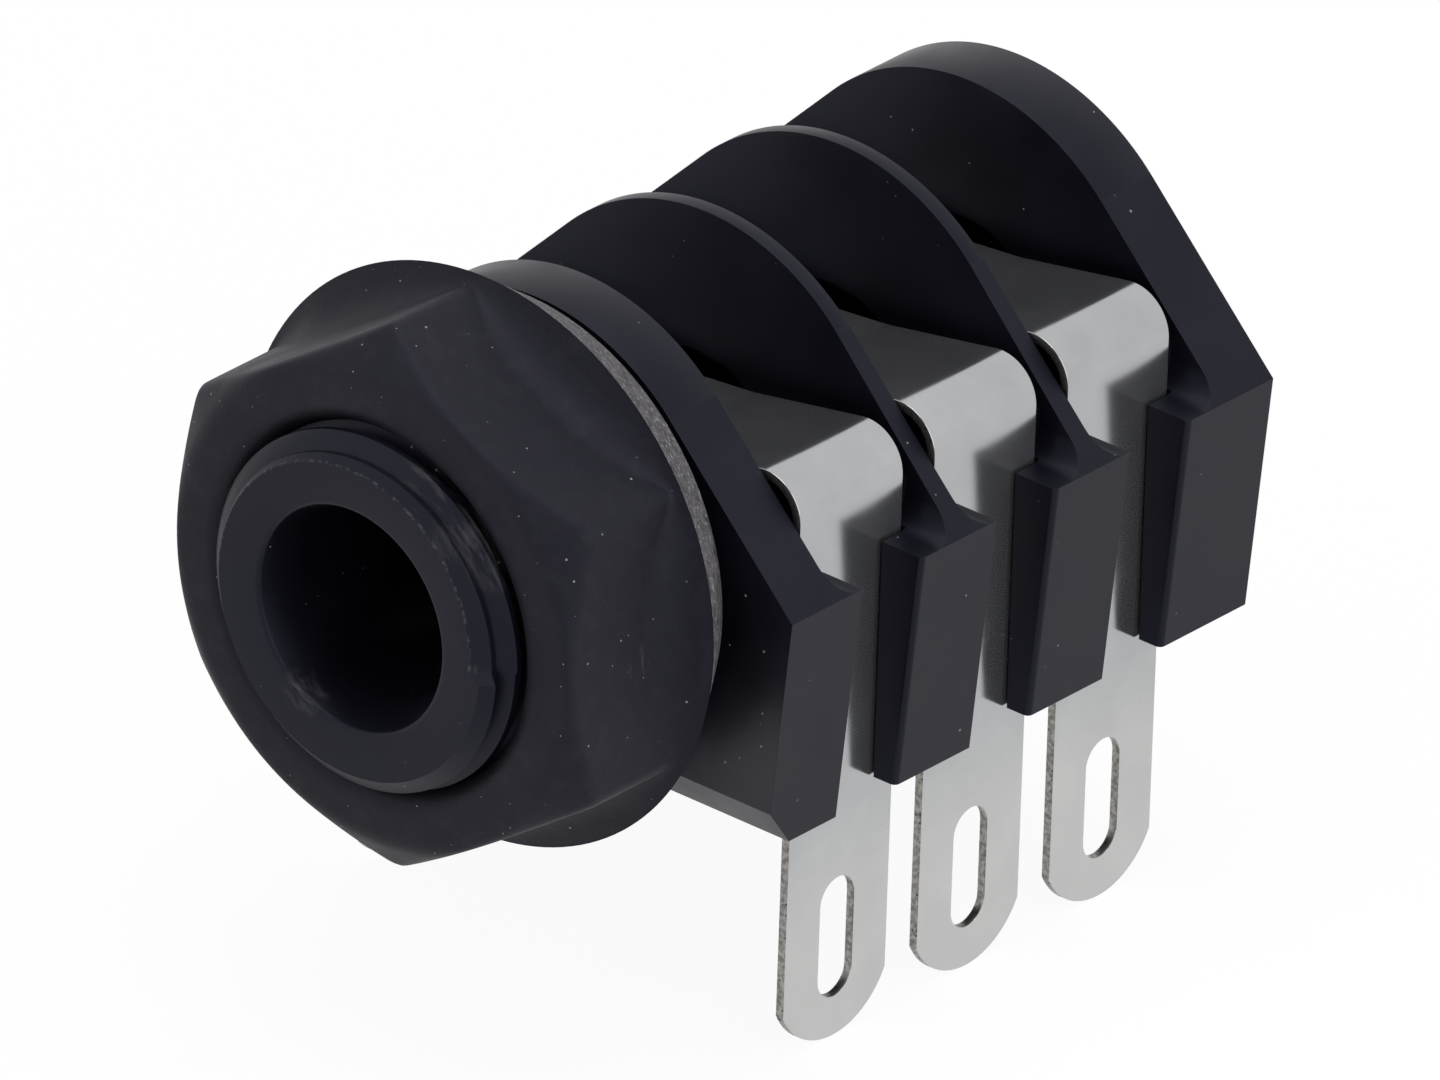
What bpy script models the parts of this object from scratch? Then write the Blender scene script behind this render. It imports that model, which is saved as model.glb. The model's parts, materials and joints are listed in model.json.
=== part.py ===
# Panel-mounting three-pole jack socket with break contacts.
# Metres, +Z up. The bore runs along Y and the mouth faces -Y. The origin is on the bore axis, in the plane of
# the front plate's front face, which is the plane that seats on the panel.
import math

import bmesh
import bpy
from mathutils import Matrix, Vector

MM = 0.001

# Bore and threaded bushing
BORE_RADIUS = 3.25 * MM
MOUTH_FLARE = 0.5 * MM
MOUTH_FLARE_DEPTH = 1.6 * MM
BUSHING_LENGTH = 8.45 * MM
THREAD_RADIUS = 6.0 * MM
THREAD_GAP = 0.3 * MM
LEAD_IN_DROP = 0.82 * MM
LEAD_IN_LENGTH = 0.77 * MM

# Poles: one bay between two plates for each contact of the plug
POLES = ("sleeve", "ring", "tip")
POLE_PITCH = 6.35 * MM

# Contact strips
STRIP_THICKNESS = 0.32 * MM
STRIP_GAP = 0.1 * MM
STRIP_REAR_GAP = 0.62 * MM
STRIP_FACE_X = 8.97 * MM
BEND_RADIUS = 1.31 * MM
TAG_TIP_Z = -16.3 * MM
TAG_CORNER_RISE = 1.52 * MM
EYE_WIDTH = 1.6 * MM
EYE_LENGTH = 4.18 * MM
EYE_TIP_DISTANCE = 1.4 * MM
HINGE_Z = 0.4 * MM
HINGE_GAP = 0.3 * MM

# Spring arm over the bore, heights of the middle of the strip
ARM_SHOULDER_Z = 4.34 * MM
ARM_KNEE_X = 2.9 * MM
ARM_KNEE_Z = 2.96 * MM
ARM_CONTACT_Z = 2.69 * MM
ARM_REST_X = 4.3 * MM
ARM_REST_Z = 3.5 * MM
ARM_END_X = 6.4 * MM
ARM_CREASE_RADIUS = 0.8 * MM

# Break contact under the arm's free end
BREAK_GAP = 0.2 * MM
BREAK_END_X = 4.6 * MM

# Moulded body
FRONT_PLATE = 2.2 * MM
DIVIDER_BASE = 0.78 * MM
DIVIDER_RIM = 0.56 * MM
REAR_PLATE = 2.45 * MM
REAR_WALL = 0.7 * MM
REAR_CLEARANCE = 0.53 * MM
PLATE_ARC_RADIUS = 7.8 * MM
PLATE_ARC_Z = 0.24 * MM
SHOULDER_X = 10.7 * MM
SHOULDER_Z = 0.55 * MM
BASE_X = 9.95 * MM
BASE_Z = -7.7 * MM
BLOCK_CAPTURE = 1.02 * MM
BLOCK_FILLET = 0.9 * MM
BLOCK_EDGE = 0.2 * MM
DECK_Z = 2.0 * MM
WALL = 1.15 * MM
WALL_RISE = 0.4 * MM
TOE_DEPTH = 1.1 * MM
TOE_HEIGHT = 1.4 * MM

# Flanged nut, heights in front of the panel plane
NUT_WALL = 2.12 * MM
NUT_TURN = math.radians(2.9)
NUT_BACK = 0.5 * MM
NUT_RIM = 2.43 * MM
NUT_FRONT = 7.5 * MM
NUT_CHAMFER_INSET = 0.2 * MM
NUT_CHAMFER_SLOPE = math.radians(40)
NUT_CORNER_ROUND = 0.6 * MM
FLANGE_OVERHANG = 1.52 * MM
FLANGE_TAPER = 1.34 * MM
FLANGE_EDGE = 0.2 * MM
FLANGE_SLOPE = math.radians(23)
FLANGE_FILLET = 1.6 * MM
NUT_MOUTH_ROUND = 0.8 * MM
NUT_COUNTERSINK = 0.55 * MM

# Fineness of round shapes
ROUND_STEPS = 48
ARC_STEPS = 20
BEND_STEPS = 8
FLAT_STEPS = 8
CORNER_STEPS = 3

# Sizes worked out from the ones above
BUSHING_RADIUS = THREAD_RADIUS - THREAD_GAP
STRIP_WIDTH = POLE_PITCH - DIVIDER_BASE - STRIP_GAP - STRIP_REAR_GAP
FIRST_POLE_Y = FRONT_PLATE + STRIP_GAP + STRIP_WIDTH / 2
POLE_Y = [FIRST_POLE_Y + i * POLE_PITCH for i in range(len(POLES))]
STRIP_X = STRIP_FACE_X - STRIP_THICKNESS / 2
CORE_X = STRIP_FACE_X - STRIP_THICKNESS - STRIP_GAP
BARREL_RADIUS = BORE_RADIUS + WALL
BLOCK_MOUTH = STRIP_WIDTH / 2 - BLOCK_CAPTURE
BODY_LENGTH = POLE_Y[-1] + STRIP_WIDTH / 2 + STRIP_GAP + REAR_CLEARANCE + REAR_PLATE
BREAK_Z = ARM_REST_Z - STRIP_THICKNESS - BREAK_GAP
NUT_APOTHEM = THREAD_RADIUS + NUT_WALL
NUT_CHAMFER_RADIUS = NUT_APOTHEM - NUT_CHAMFER_INSET
FLANGE_RADIUS = NUT_APOTHEM + FLANGE_OVERHANG
FLANGE_BACK_RADIUS = FLANGE_RADIUS - FLANGE_TAPER
PAST = 1.0 * MM


def clear_scene():
    for obj in list(bpy.data.objects):
        bpy.data.objects.remove(obj, do_unlink=True)


def make_collection(name):
    collection = bpy.data.collections.new(name)
    bpy.context.scene.collection.children.link(collection)
    return collection


def make_material(name, colour, roughness, metallic):
    material = bpy.data.materials.new(name)
    material.use_nodes = True
    shader = material.node_tree.nodes["Principled BSDF"]
    shader.inputs["Base Color"].default_value = (*colour, 1.0)
    shader.inputs["Roughness"].default_value = roughness
    shader.inputs["Metallic"].default_value = metallic
    return material


def add_object(name, mesh, collection, material=None):
    obj = bpy.data.objects.new(name, mesh)
    collection.objects.link(obj)
    if material:
        mesh.materials.append(material)
    return obj


def as_tool(obj):
    obj.hide_render = True
    obj.display_type = "WIRE"
    return obj


def arc(centre, radius, start, end, steps):
    """Points of an arc, both ends included, angles in radians."""
    points = []
    for i in range(steps + 1):
        angle = start + (end - start) * i / steps
        points.append((centre[0] + radius * math.cos(angle), centre[1] + radius * math.sin(angle)))
    return points


def prism(name, outline, low, high, collection, along="Y"):
    """An outline extruded along Y (outline in X, Z) or along X (outline in Y, Z)."""
    axis = "XYZ".index(along)
    mesh = bpy.data.meshes.new(name)
    bm = bmesh.new()
    spots = [(u, low, v) if along == "Y" else (low, u, v) for u, v in outline]
    face = bm.faces.new([bm.verts.new(spot) for spot in spots])
    swept = bmesh.ops.extrude_face_region(bm, geom=[face], use_keep_orig=True)["geom"]
    for element in swept:
        if isinstance(element, bmesh.types.BMVert):
            element.co[axis] = high
    bmesh.ops.recalc_face_normals(bm, faces=bm.faces)
    bm.to_mesh(mesh)
    bm.free()
    return add_object(name, mesh, collection)


def turned(name, profile, collection):
    """A closed profile of (radius, height in front of the panel) turned about the bore axis."""
    mesh = bpy.data.meshes.new(name)
    bm = bmesh.new()
    verts = [bm.verts.new((radius, 0, height)) for radius, height in profile]
    closed = profile[0][0] > 0
    for a, b in zip(verts, verts[1:] + (verts[:1] if closed else [])):
        bm.edges.new((a, b))
    bm.to_mesh(mesh)
    bm.free()
    obj = add_object(name, mesh, collection)
    screw = obj.modifiers.new("Turn", "SCREW")
    screw.steps = screw.render_steps = ROUND_STEPS
    screw.use_merge_vertices = True
    screw.merge_threshold = 0.001 * MM
    obj.rotation_euler = (math.pi / 2, 0, 0)
    return obj


def boolean(obj, tool, operation):
    modifier = obj.modifiers.new(operation.title() + " " + tool.name, "BOOLEAN")
    modifier.object = as_tool(tool)
    modifier.operation = operation
    modifier.solver = "EXACT"


def apply_modifiers(obj):
    """Replaces an object's modifiers and its own transform by the mesh that they make."""
    bpy.context.view_layer.update()
    graph = bpy.context.evaluated_depsgraph_get()
    mesh = bpy.data.meshes.new_from_object(obj.evaluated_get(graph))
    mesh.transform(obj.matrix_world)
    mesh.name = obj.name
    obj.modifiers.clear()
    obj.data = mesh
    obj.matrix_world = Matrix.Identity(4)
    bm = bmesh.new()
    bm.from_mesh(mesh)
    bmesh.ops.remove_doubles(bm, verts=bm.verts, dist=0.001 * MM)
    bmesh.ops.dissolve_degenerate(bm, edges=bm.edges, dist=0.001 * MM)
    bm.to_mesh(mesh)
    bm.free()


def settle(obj, smooth_angle=math.radians(35)):
    """Applies the modifiers, cuts the big faces into triangles and shades the round ones smooth."""
    apply_modifiers(obj)
    bm = bmesh.new()
    bm.from_mesh(obj.data)
    bmesh.ops.triangulate(bm, faces=[face for face in bm.faces if len(face.verts) > 4])
    bm.to_mesh(obj.data)
    bm.free()
    obj.data.shade_smooth()
    obj.data.set_sharp_from_angle(angle=smooth_angle)
    return obj


def plate_outline():
    """Round top on a tangent down to each shoulder, then a slightly tapered base."""
    reach = math.hypot(SHOULDER_X, SHOULDER_Z - PLATE_ARC_Z)
    lean = math.atan2(SHOULDER_Z - PLATE_ARC_Z, SHOULDER_X)
    start = lean + math.acos(PLATE_ARC_RADIUS / reach)
    top = arc((0, PLATE_ARC_Z), PLATE_ARC_RADIUS, start, math.pi - start, ARC_STEPS)
    return [(-BASE_X, BASE_Z), (BASE_X, BASE_Z), (SHOULDER_X, SHOULDER_Z), *top, (-SHOULDER_X, SHOULDER_Z)]


def plate_rear(i):
    """Rear face of each plate: a dividing plate ends just in front of the strips of the pole behind it."""
    if i == 0:
        return FRONT_PLATE
    return BODY_LENGTH if i == len(POLES) else POLE_Y[i] - STRIP_WIDTH / 2 - STRIP_GAP


def plate_front(i, z):
    """Front face of each plate at a height: the dividing plates lean, so that they are thinner at the rim."""
    if i == 0:
        return 0
    if i == len(POLES):
        return BODY_LENGTH - REAR_PLATE
    top = PLATE_ARC_Z + PLATE_ARC_RADIUS
    slope = (DIVIDER_BASE - DIVIDER_RIM) / (top - SHOULDER_Z)
    return plate_rear(i) - DIVIDER_RIM - slope * (top - z)


def plate_section(i):
    low = BASE_Z - PAST
    top = PLATE_ARC_Z + PLATE_ARC_RADIUS + PAST
    return [(plate_front(i, low), low), (plate_rear(i), low), (plate_rear(i), top), (plate_front(i, top), top)]


def block_section(i, front, rear):
    """Section of a block in Y, Z, with a fillet from its top up to each face of the plate that it carries."""
    low, fillet_z = BASE_Z - PAST, SHOULDER_Z + BLOCK_FILLET
    outline = [(front, low), (rear, low)]
    if plate_rear(i) < rear:
        centre = (plate_rear(i) + BLOCK_FILLET, fillet_z)
        outline += [(rear, SHOULDER_Z), *arc(centre, BLOCK_FILLET, -math.pi / 2, -math.pi, BEND_STEPS)]
    else:
        outline.append((rear, fillet_z))
    if plate_front(i, fillet_z) > front:
        centre = (plate_front(i, fillet_z) - BLOCK_FILLET, fillet_z)
        outline += [*arc(centre, BLOCK_FILLET, 0, -math.pi / 2, BEND_STEPS), (front, SHOULDER_Z)]
    else:
        outline.append((front, fillet_z))
    return outline


def core_outline():
    """Deck and side walls behind the strips: a channel that is open below."""
    low = BASE_Z + WALL_RISE
    inner = CORE_X - WALL
    return [(-CORE_X, low), (-CORE_X, DECK_Z), (CORE_X, DECK_Z), (CORE_X, low),
            (inner, low), (inner, DECK_Z - WALL), (-inner, DECK_Z - WALL), (-inner, low)]


def barrel_outline():
    """The wall round the bore, cut off flat inside the deck so that the arms can dip into the bore."""
    start = math.asin((DECK_Z - WALL / 2) / BARREL_RADIUS)
    return arc((0, 0), BARREL_RADIUS, start, -math.pi - start, ROUND_STEPS)


def block_spans():
    """Front and rear of the side blocks: each gap between two blocks is centred on a pole."""
    fronts = [0] + [pole_y + BLOCK_MOUTH for pole_y in POLE_Y]
    rears = [pole_y - BLOCK_MOUTH for pole_y in POLE_Y] + [BODY_LENGTH]
    return list(zip(fronts, rears))


def make_body(parts, tools, material):
    inner, outer = CORE_X - WALL, SHOULDER_X + PAST
    body = prism("body", plate_section(0), -outer, outer, parts, along="X")
    body.data.materials.append(material)
    for i in range(1, len(POLES) + 1):
        boolean(body, prism(f"plate_{i + 1}", plate_section(i), -outer, outer, tools, along="X"), "UNION")
    for i, (front, rear) in enumerate(block_spans()):
        section = block_section(i, front, rear)
        boolean(body, prism(f"block_{i + 1}_right", section, inner, outer, tools, along="X"), "UNION")
        boolean(body, prism(f"block_{i + 1}_left", section, -outer, -inner, tools, along="X"), "UNION")
    boolean(body, prism("outline", plate_outline(), -PAST, BODY_LENGTH + PAST, tools), "INTERSECT")
    apply_modifiers(body)
    round_block_edges(body)
    core_ends = (FRONT_PLATE / 2, BODY_LENGTH - REAR_PLATE / 2)
    boolean(body, prism("core", core_outline(), *core_ends, tools), "UNION")
    barrel_ends = (FRONT_PLATE / 3, BODY_LENGTH - REAR_PLATE / 3)
    boolean(body, prism("barrel", barrel_outline(), *barrel_ends, tools), "UNION")
    root = FRONT_PLATE / 2
    face_radius = BUSHING_RADIUS - LEAD_IN_DROP
    bushing = turned("bushing", [(0, BUSHING_LENGTH), (face_radius, BUSHING_LENGTH),
                                 (BUSHING_RADIUS, BUSHING_LENGTH - LEAD_IN_LENGTH), (BUSHING_RADIUS, -root),
                                 (0, -root)], tools)
    boolean(body, bushing, "UNION")
    past_mouth = BORE_RADIUS + MOUTH_FLARE * (1 + PAST / MOUTH_FLARE_DEPTH)
    bore_end = REAR_WALL - BODY_LENGTH
    bore = turned("bore", [(0, BUSHING_LENGTH + PAST), (past_mouth, BUSHING_LENGTH + PAST),
                           (BORE_RADIUS, BUSHING_LENGTH - MOUTH_FLARE_DEPTH), (BORE_RADIUS, bore_end),
                           (0, bore_end)], tools)
    boolean(body, bore, "DIFFERENCE")
    cut_slots(body, tools)
    toe = [(-PAST, BASE_Z - PAST), (TOE_DEPTH + PAST * TOE_DEPTH / TOE_HEIGHT, BASE_Z - PAST),
           (0, BASE_Z + TOE_HEIGHT), (-PAST, BASE_Z + TOE_HEIGHT)]
    boolean(body, prism("toe", toe, -SHOULDER_X - PAST, SHOULDER_X + PAST, tools, along="X"), "DIFFERENCE")
    return settle(body)


def round_block_edges(body):
    """Takes the sharp upright front edge off the outer face of each block behind a bay."""
    fronts = [front for front, _ in block_spans()[1:]]
    bm = bmesh.new()
    bm.from_mesh(body.data)
    uprights = []
    for edge in bm.edges:
        a, b = (vert.co for vert in edge.verts)
        outermost = min(abs(a.x), abs(b.x)) > BASE_X - BLOCK_EDGE
        tall = abs(a.z - b.z) > (SHOULDER_Z - BASE_Z) / 2
        if outermost and tall and any(max(abs(a.y - y), abs(b.y - y)) < BLOCK_EDGE / 10 for y in fronts):
            uprights.append(edge)
    bmesh.ops.bevel(bm, geom=uprights, offset=BLOCK_EDGE, segments=2, affect="EDGES", profile=0.5, material=-1)
    bm.to_mesh(body.data)
    bm.free()


def cut_slots(body, tools):
    """Slots down through the blocks, one on each side of each bay, that hold the edges of the strips."""
    outer = STRIP_FACE_X + STRIP_GAP
    half = STRIP_WIDTH / 2 + STRIP_GAP
    for pole, pole_y in zip(POLES, POLE_Y):
        for side in (1, -1):
            name = f"slot_{pole}_{'right' if side > 0 else 'left'}"
            outline = [(side * x, z) for x, z in ((CORE_X, BASE_Z - PAST), (outer, BASE_Z - PAST),
                                                  (outer, DECK_Z + PAST), (CORE_X, DECK_Z + PAST))]
            boolean(body, prism(name, outline, pole_y - half, pole_y + half, tools), "DIFFERENCE")


def nut_angles():
    """Angles of the nut's sections from one flat's middle on: along each flat, then round the next corner."""
    flat_end = math.atan((NUT_APOTHEM - NUT_CORNER_ROUND) * math.tan(math.pi / 6) / NUT_APOTHEM)
    one_side = [flat_end * (2 * j / FLAT_STEPS - 1) for j in range(FLAT_STEPS + 1)]
    one_side += [flat_end + (math.pi / 3 - 2 * flat_end) * j / CORNER_STEPS for j in range(1, CORNER_STEPS)]
    return [side * math.pi / 3 + angle for side in range(6) for angle in one_side]


def hexagon_radius(angle):
    """Distance from the axis to the rounded hexagon, whose corners are turned down inside the flange's rim."""
    from_flat = abs((angle + math.pi / 6) % (math.pi / 3) - math.pi / 6)
    radius = NUT_APOTHEM / math.cos(from_flat)
    from_corner = math.pi / 6 - from_flat
    round_centre = (NUT_APOTHEM - NUT_CORNER_ROUND) / math.cos(math.pi / 6)
    if math.sin(from_corner) * round_centre < NUT_CORNER_ROUND * math.sin(math.pi / 6 - from_corner):
        offset = round_centre * math.sin(from_corner)
        radius = round_centre * math.cos(from_corner) + math.sqrt(NUT_CORNER_ROUND ** 2 - offset ** 2)
    return min(radius, FLANGE_RADIUS - 1.5 * FLANGE_EDGE)


def nut_section(radius):
    """Closed section of the nut, as (radius, height), where the hexagon is this far from the axis."""
    sine, slope = math.sin(FLANGE_SLOPE), math.tan(FLANGE_SLOPE)
    mouth = arc((THREAD_RADIUS + NUT_MOUTH_ROUND, NUT_FRONT - NUT_MOUTH_ROUND), NUT_MOUTH_ROUND, math.pi,
                math.pi / 2, BEND_STEPS // 2)
    flat_top = NUT_FRONT - (radius - NUT_CHAMFER_RADIUS) * math.tan(NUT_CHAMFER_SLOPE)
    fillet_radius = min(FLANGE_FILLET, (FLANGE_RADIUS - FLANGE_EDGE - radius) / (1 - sine))
    foot_x = radius + fillet_radius * (1 - sine)
    foot_height = NUT_RIM + (FLANGE_RADIUS - foot_x) * slope
    centre = (radius + fillet_radius, foot_height + fillet_radius * math.cos(FLANGE_SLOPE))
    fillet = arc(centre, fillet_radius, math.pi, math.pi * 1.5 - FLANGE_SLOPE, BEND_STEPS)
    edge_x = FLANGE_RADIUS - FLANGE_EDGE / 2
    return [*mouth, (NUT_CHAMFER_RADIUS, NUT_FRONT), (radius, flat_top), *fillet,
            (edge_x, NUT_RIM + FLANGE_EDGE / 2 * slope), (FLANGE_RADIUS, NUT_RIM),
            (FLANGE_BACK_RADIUS, NUT_BACK), (THREAD_RADIUS + NUT_COUNTERSINK, NUT_BACK),
            (THREAD_RADIUS, NUT_BACK + NUT_COUNTERSINK)]


def make_nut(parts, material):
    """A loft through sections set round the axis, because the fillet between flats and flange changes."""
    mesh = bpy.data.meshes.new("panel_nut")
    bm = bmesh.new()
    rings = []
    for angle in nut_angles():
        turn = angle + NUT_TURN
        section = nut_section(hexagon_radius(angle))
        rings.append([bm.verts.new((r * math.cos(turn), -height, r * math.sin(turn))) for r, height in section])
    for ring, following in zip(rings, rings[1:] + rings[:1]):
        for i in range(len(ring)):
            bm.faces.new((ring[i - 1], ring[i], following[i], following[i - 1]))
    bmesh.ops.recalc_face_normals(bm, faces=bm.faces)
    bmesh.ops.triangulate(bm, faces=bm.faces)
    bm.to_mesh(mesh)
    bm.free()
    return settle(add_object("panel_nut", mesh, parts, material))


def bent_path(corners, radii):
    """Middle line of a strip in X, Z: straight runs joined by arcs of the given radii at the inner corners."""
    path = [corners[0]]
    for before, corner, after, radius in zip(corners, corners[1:], corners[2:], radii):
        into = (corner[0] - before[0], corner[1] - before[1])
        out = (after[0] - corner[0], after[1] - corner[1])
        heading = math.atan2(into[1], into[0])
        turn = (math.atan2(out[1], out[0]) - heading + math.pi) % (2 * math.pi) - math.pi
        back = radius * math.tan(abs(turn) / 2)
        hand = math.copysign(1, turn)
        start = (corner[0] - back * math.cos(heading), corner[1] - back * math.sin(heading))
        centre = (start[0] - hand * radius * math.sin(heading), start[1] + hand * radius * math.cos(heading))
        first = heading - hand * math.pi / 2
        steps = max(2, round(BEND_STEPS * abs(turn) / (math.pi / 2)))
        path += arc(centre, radius, first, first + turn, steps)
    path.append(corners[-1])
    return path


def strip(name, path, pole_y, collection):
    """A sheet of the strip's thickness that follows a path in X, Z across the strip's width."""
    mesh = bpy.data.meshes.new(name)
    bm = bmesh.new()
    verts = [bm.verts.new((x, pole_y - STRIP_WIDTH / 2, z)) for x, z in path]
    edges = [bm.edges.new(pair) for pair in zip(verts, verts[1:])]
    swept = bmesh.ops.extrude_edge_only(bm, edges=edges)["geom"]
    bmesh.ops.translate(bm, verts=[v for v in swept if isinstance(v, bmesh.types.BMVert)],
                        vec=(0, STRIP_WIDTH, 0))
    bm.to_mesh(mesh)
    bm.free()
    obj = add_object(name, mesh, collection)
    sheet = obj.modifiers.new("Sheet", "SOLIDIFY")
    sheet.thickness = STRIP_THICKNESS
    sheet.offset = 0
    sheet.use_even_offset = True
    return obj


def tag_end_trim(name, pole_y, side, tools):
    """What is cut away round the arc at a tag's tip."""
    half = STRIP_WIDTH / 2
    radius = (half ** 2 + TAG_CORNER_RISE ** 2) / (2 * TAG_CORNER_RISE)
    centre_z = TAG_TIP_Z + radius
    spread = math.asin(half / radius)
    down = -math.pi / 2
    tip = arc((pole_y, centre_z), radius, down - spread, down + spread, ARC_STEPS // 2)
    low = TAG_TIP_Z - PAST
    outline = [(pole_y - half - PAST, tip[0][1]), *tip, (pole_y + half + PAST, tip[-1][1]),
               (pole_y + half + PAST, low), (pole_y - half - PAST, low)]
    low_x, high_x = sorted((side * (STRIP_FACE_X - PAST), side * (STRIP_FACE_X + PAST)))
    return prism(name + "_tip", outline, low_x, high_x, tools, along="X")


def tag_eye(name, pole_y, side, tools):
    """The long eye that takes the wire."""
    radius = EYE_WIDTH / 2
    low = TAG_TIP_Z + EYE_TIP_DISTANCE + radius
    high = low + EYE_LENGTH - EYE_WIDTH
    outline = arc((pole_y, high), radius, 0, math.pi, BEND_STEPS)
    outline += arc((pole_y, low), radius, math.pi, 2 * math.pi, BEND_STEPS)
    low_x, high_x = sorted((side * (STRIP_FACE_X - PAST), side * (STRIP_FACE_X + PAST)))
    return prism(name + "_eye", outline, low_x, high_x, tools, along="X")


def make_tagged_strip(name, path, pole_y, side, parts, tools, material):
    obj = strip(name, path, pole_y, parts)
    obj.data.materials.append(material)
    boolean(obj, tag_end_trim(name, pole_y, side, tools), "DIFFERENCE")
    boolean(obj, tag_eye(name, pole_y, side, tools), "DIFFERENCE")
    return settle(obj)


def arm_corners():
    """Corners of the spring arm's middle line, from the clamp over the bore to the free end."""
    return [(STRIP_X, HINGE_Z + HINGE_GAP / 2), (STRIP_X, ARM_SHOULDER_Z), (ARM_KNEE_X, ARM_KNEE_Z),
            (0, ARM_CONTACT_Z), (-ARM_KNEE_X, ARM_KNEE_Z), (-ARM_REST_X, ARM_REST_Z), (-ARM_END_X, ARM_REST_Z)]


def make_contacts(parts, tools, material):
    tag_path = [(STRIP_X, TAG_TIP_Z), (STRIP_X, HINGE_Z - HINGE_GAP / 2)]
    break_corners = [(-STRIP_X, TAG_TIP_Z), (-STRIP_X, BREAK_Z), (-BREAK_END_X, BREAK_Z)]
    arm_path = bent_path(arm_corners(), [BEND_RADIUS] + [ARM_CREASE_RADIUS] * 4)
    for pole, pole_y in zip(POLES, POLE_Y):
        make_tagged_strip(f"{pole}_tag", tag_path, pole_y, 1, parts, tools, material)
        make_tagged_strip(f"{pole}_break_contact", bent_path(break_corners, [BEND_RADIUS]), pole_y, -1,
                          parts, tools, material)
        pivot = bpy.data.objects.new(f"{pole}_pivot", None)
        pivot.location = (STRIP_X, pole_y, HINGE_Z)
        parts.objects.link(pivot)
        arm = strip(f"{pole}_spring_arm", arm_path, pole_y, parts)
        arm.data.materials.append(material)
        settle(arm)
        bpy.context.view_layer.update()
        arm.parent = pivot
        arm.matrix_parent_inverse = pivot.matrix_world.inverted()


def main():
    clear_scene()
    parts = make_collection("jack_socket")
    tools = make_collection("cutters")
    body_plastic = make_material("body_plastic", (0.028, 0.028, 0.034), 0.42, 0.0)
    nut_plastic = make_material("nut_plastic", (0.036, 0.036, 0.042), 0.55, 0.0)
    plated_strip = make_material("plated_strip", (0.76, 0.76, 0.77), 0.22, 1.0)
    make_body(parts, tools, body_plastic)
    make_nut(parts, nut_plastic)
    make_contacts(parts, tools, plated_strip)


main()
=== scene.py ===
# %% [markdown]
# # Panel jack socket for a 6.35 mm plug
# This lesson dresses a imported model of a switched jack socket: a black moulded body, a flanged plastic
# nut and six strips of bright plated metal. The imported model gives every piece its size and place. Here
# each piece is modelled again with the roundings, thread and bends that catch the light, and gets its own
# finish.

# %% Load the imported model
import json
import math

import bmesh
import bpy
from mathutils import Matrix, Vector


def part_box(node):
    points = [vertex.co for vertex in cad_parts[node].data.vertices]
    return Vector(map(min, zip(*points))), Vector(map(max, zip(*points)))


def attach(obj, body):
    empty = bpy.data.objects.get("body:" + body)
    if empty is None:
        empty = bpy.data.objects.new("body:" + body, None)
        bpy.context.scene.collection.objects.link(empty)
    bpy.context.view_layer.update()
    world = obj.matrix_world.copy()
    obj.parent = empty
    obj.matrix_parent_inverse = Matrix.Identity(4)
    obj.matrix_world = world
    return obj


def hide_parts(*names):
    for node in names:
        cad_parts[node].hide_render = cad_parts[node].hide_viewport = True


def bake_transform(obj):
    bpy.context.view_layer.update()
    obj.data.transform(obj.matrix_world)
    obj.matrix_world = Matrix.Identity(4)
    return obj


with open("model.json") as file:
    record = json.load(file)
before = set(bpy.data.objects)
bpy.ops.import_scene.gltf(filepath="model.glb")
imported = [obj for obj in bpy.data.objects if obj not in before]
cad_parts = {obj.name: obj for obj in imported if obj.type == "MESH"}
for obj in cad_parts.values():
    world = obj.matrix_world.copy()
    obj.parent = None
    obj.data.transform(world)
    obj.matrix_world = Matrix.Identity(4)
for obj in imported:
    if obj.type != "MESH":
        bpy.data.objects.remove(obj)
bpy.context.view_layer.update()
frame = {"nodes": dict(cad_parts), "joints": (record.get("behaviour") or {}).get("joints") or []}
MM = 0.001
print("nodes:", ", ".join(sorted(frame["nodes"])))

# %% [markdown]
# ## The camera
# In the photograph the socket's parallel edges stay nearly parallel. An orthographic camera would keep
# them exactly parallel. A camera 1.2 m away with a lens of about 970 mm comes close to that and keeps a
# trace of depth. The view's turn, height and roll were measured from the three directions of the socket's
# own edges.

# %% Camera
IMAGE_WIDTH = 1440
PIXELS_PER_MM = 32.342
VIEW_AZIMUTH = math.radians(40.014)
VIEW_ELEVATION = math.radians(27.746)
VIEW_ROLL = math.radians(-1.977)
CAMERA_DISTANCE = 1.2
AIM_RIGHT = 5.881 * MM
AIM_UP = -0.169 * MM

level = Vector((math.cos(VIEW_AZIMUTH), math.sin(VIEW_AZIMUTH), 0))
back = Vector((math.sin(VIEW_AZIMUTH) * math.cos(VIEW_ELEVATION),
               -math.cos(VIEW_AZIMUTH) * math.cos(VIEW_ELEVATION), math.sin(VIEW_ELEVATION)))
up = back.cross(level)
camera_x = level * math.cos(VIEW_ROLL) - up * math.sin(VIEW_ROLL)
camera_y = level * math.sin(VIEW_ROLL) + up * math.cos(VIEW_ROLL)
camera = bpy.data.objects.new("camera", bpy.data.cameras.new("camera"))
bpy.context.scene.collection.objects.link(camera)
camera.data.sensor_width = 36
camera.data.lens = PIXELS_PER_MM / MM * CAMERA_DISTANCE * camera.data.sensor_width / IMAGE_WIDTH
camera.data.clip_start = 0.1
camera.data.clip_end = 10
camera.matrix_world = Matrix((camera_x, camera_y, back)).transposed().to_4x4()
camera.location = level * AIM_RIGHT + up * AIM_UP + back * CAMERA_DISTANCE
bpy.context.scene.camera = camera
print(f"lens {camera.data.lens:.0f} mm")

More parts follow.
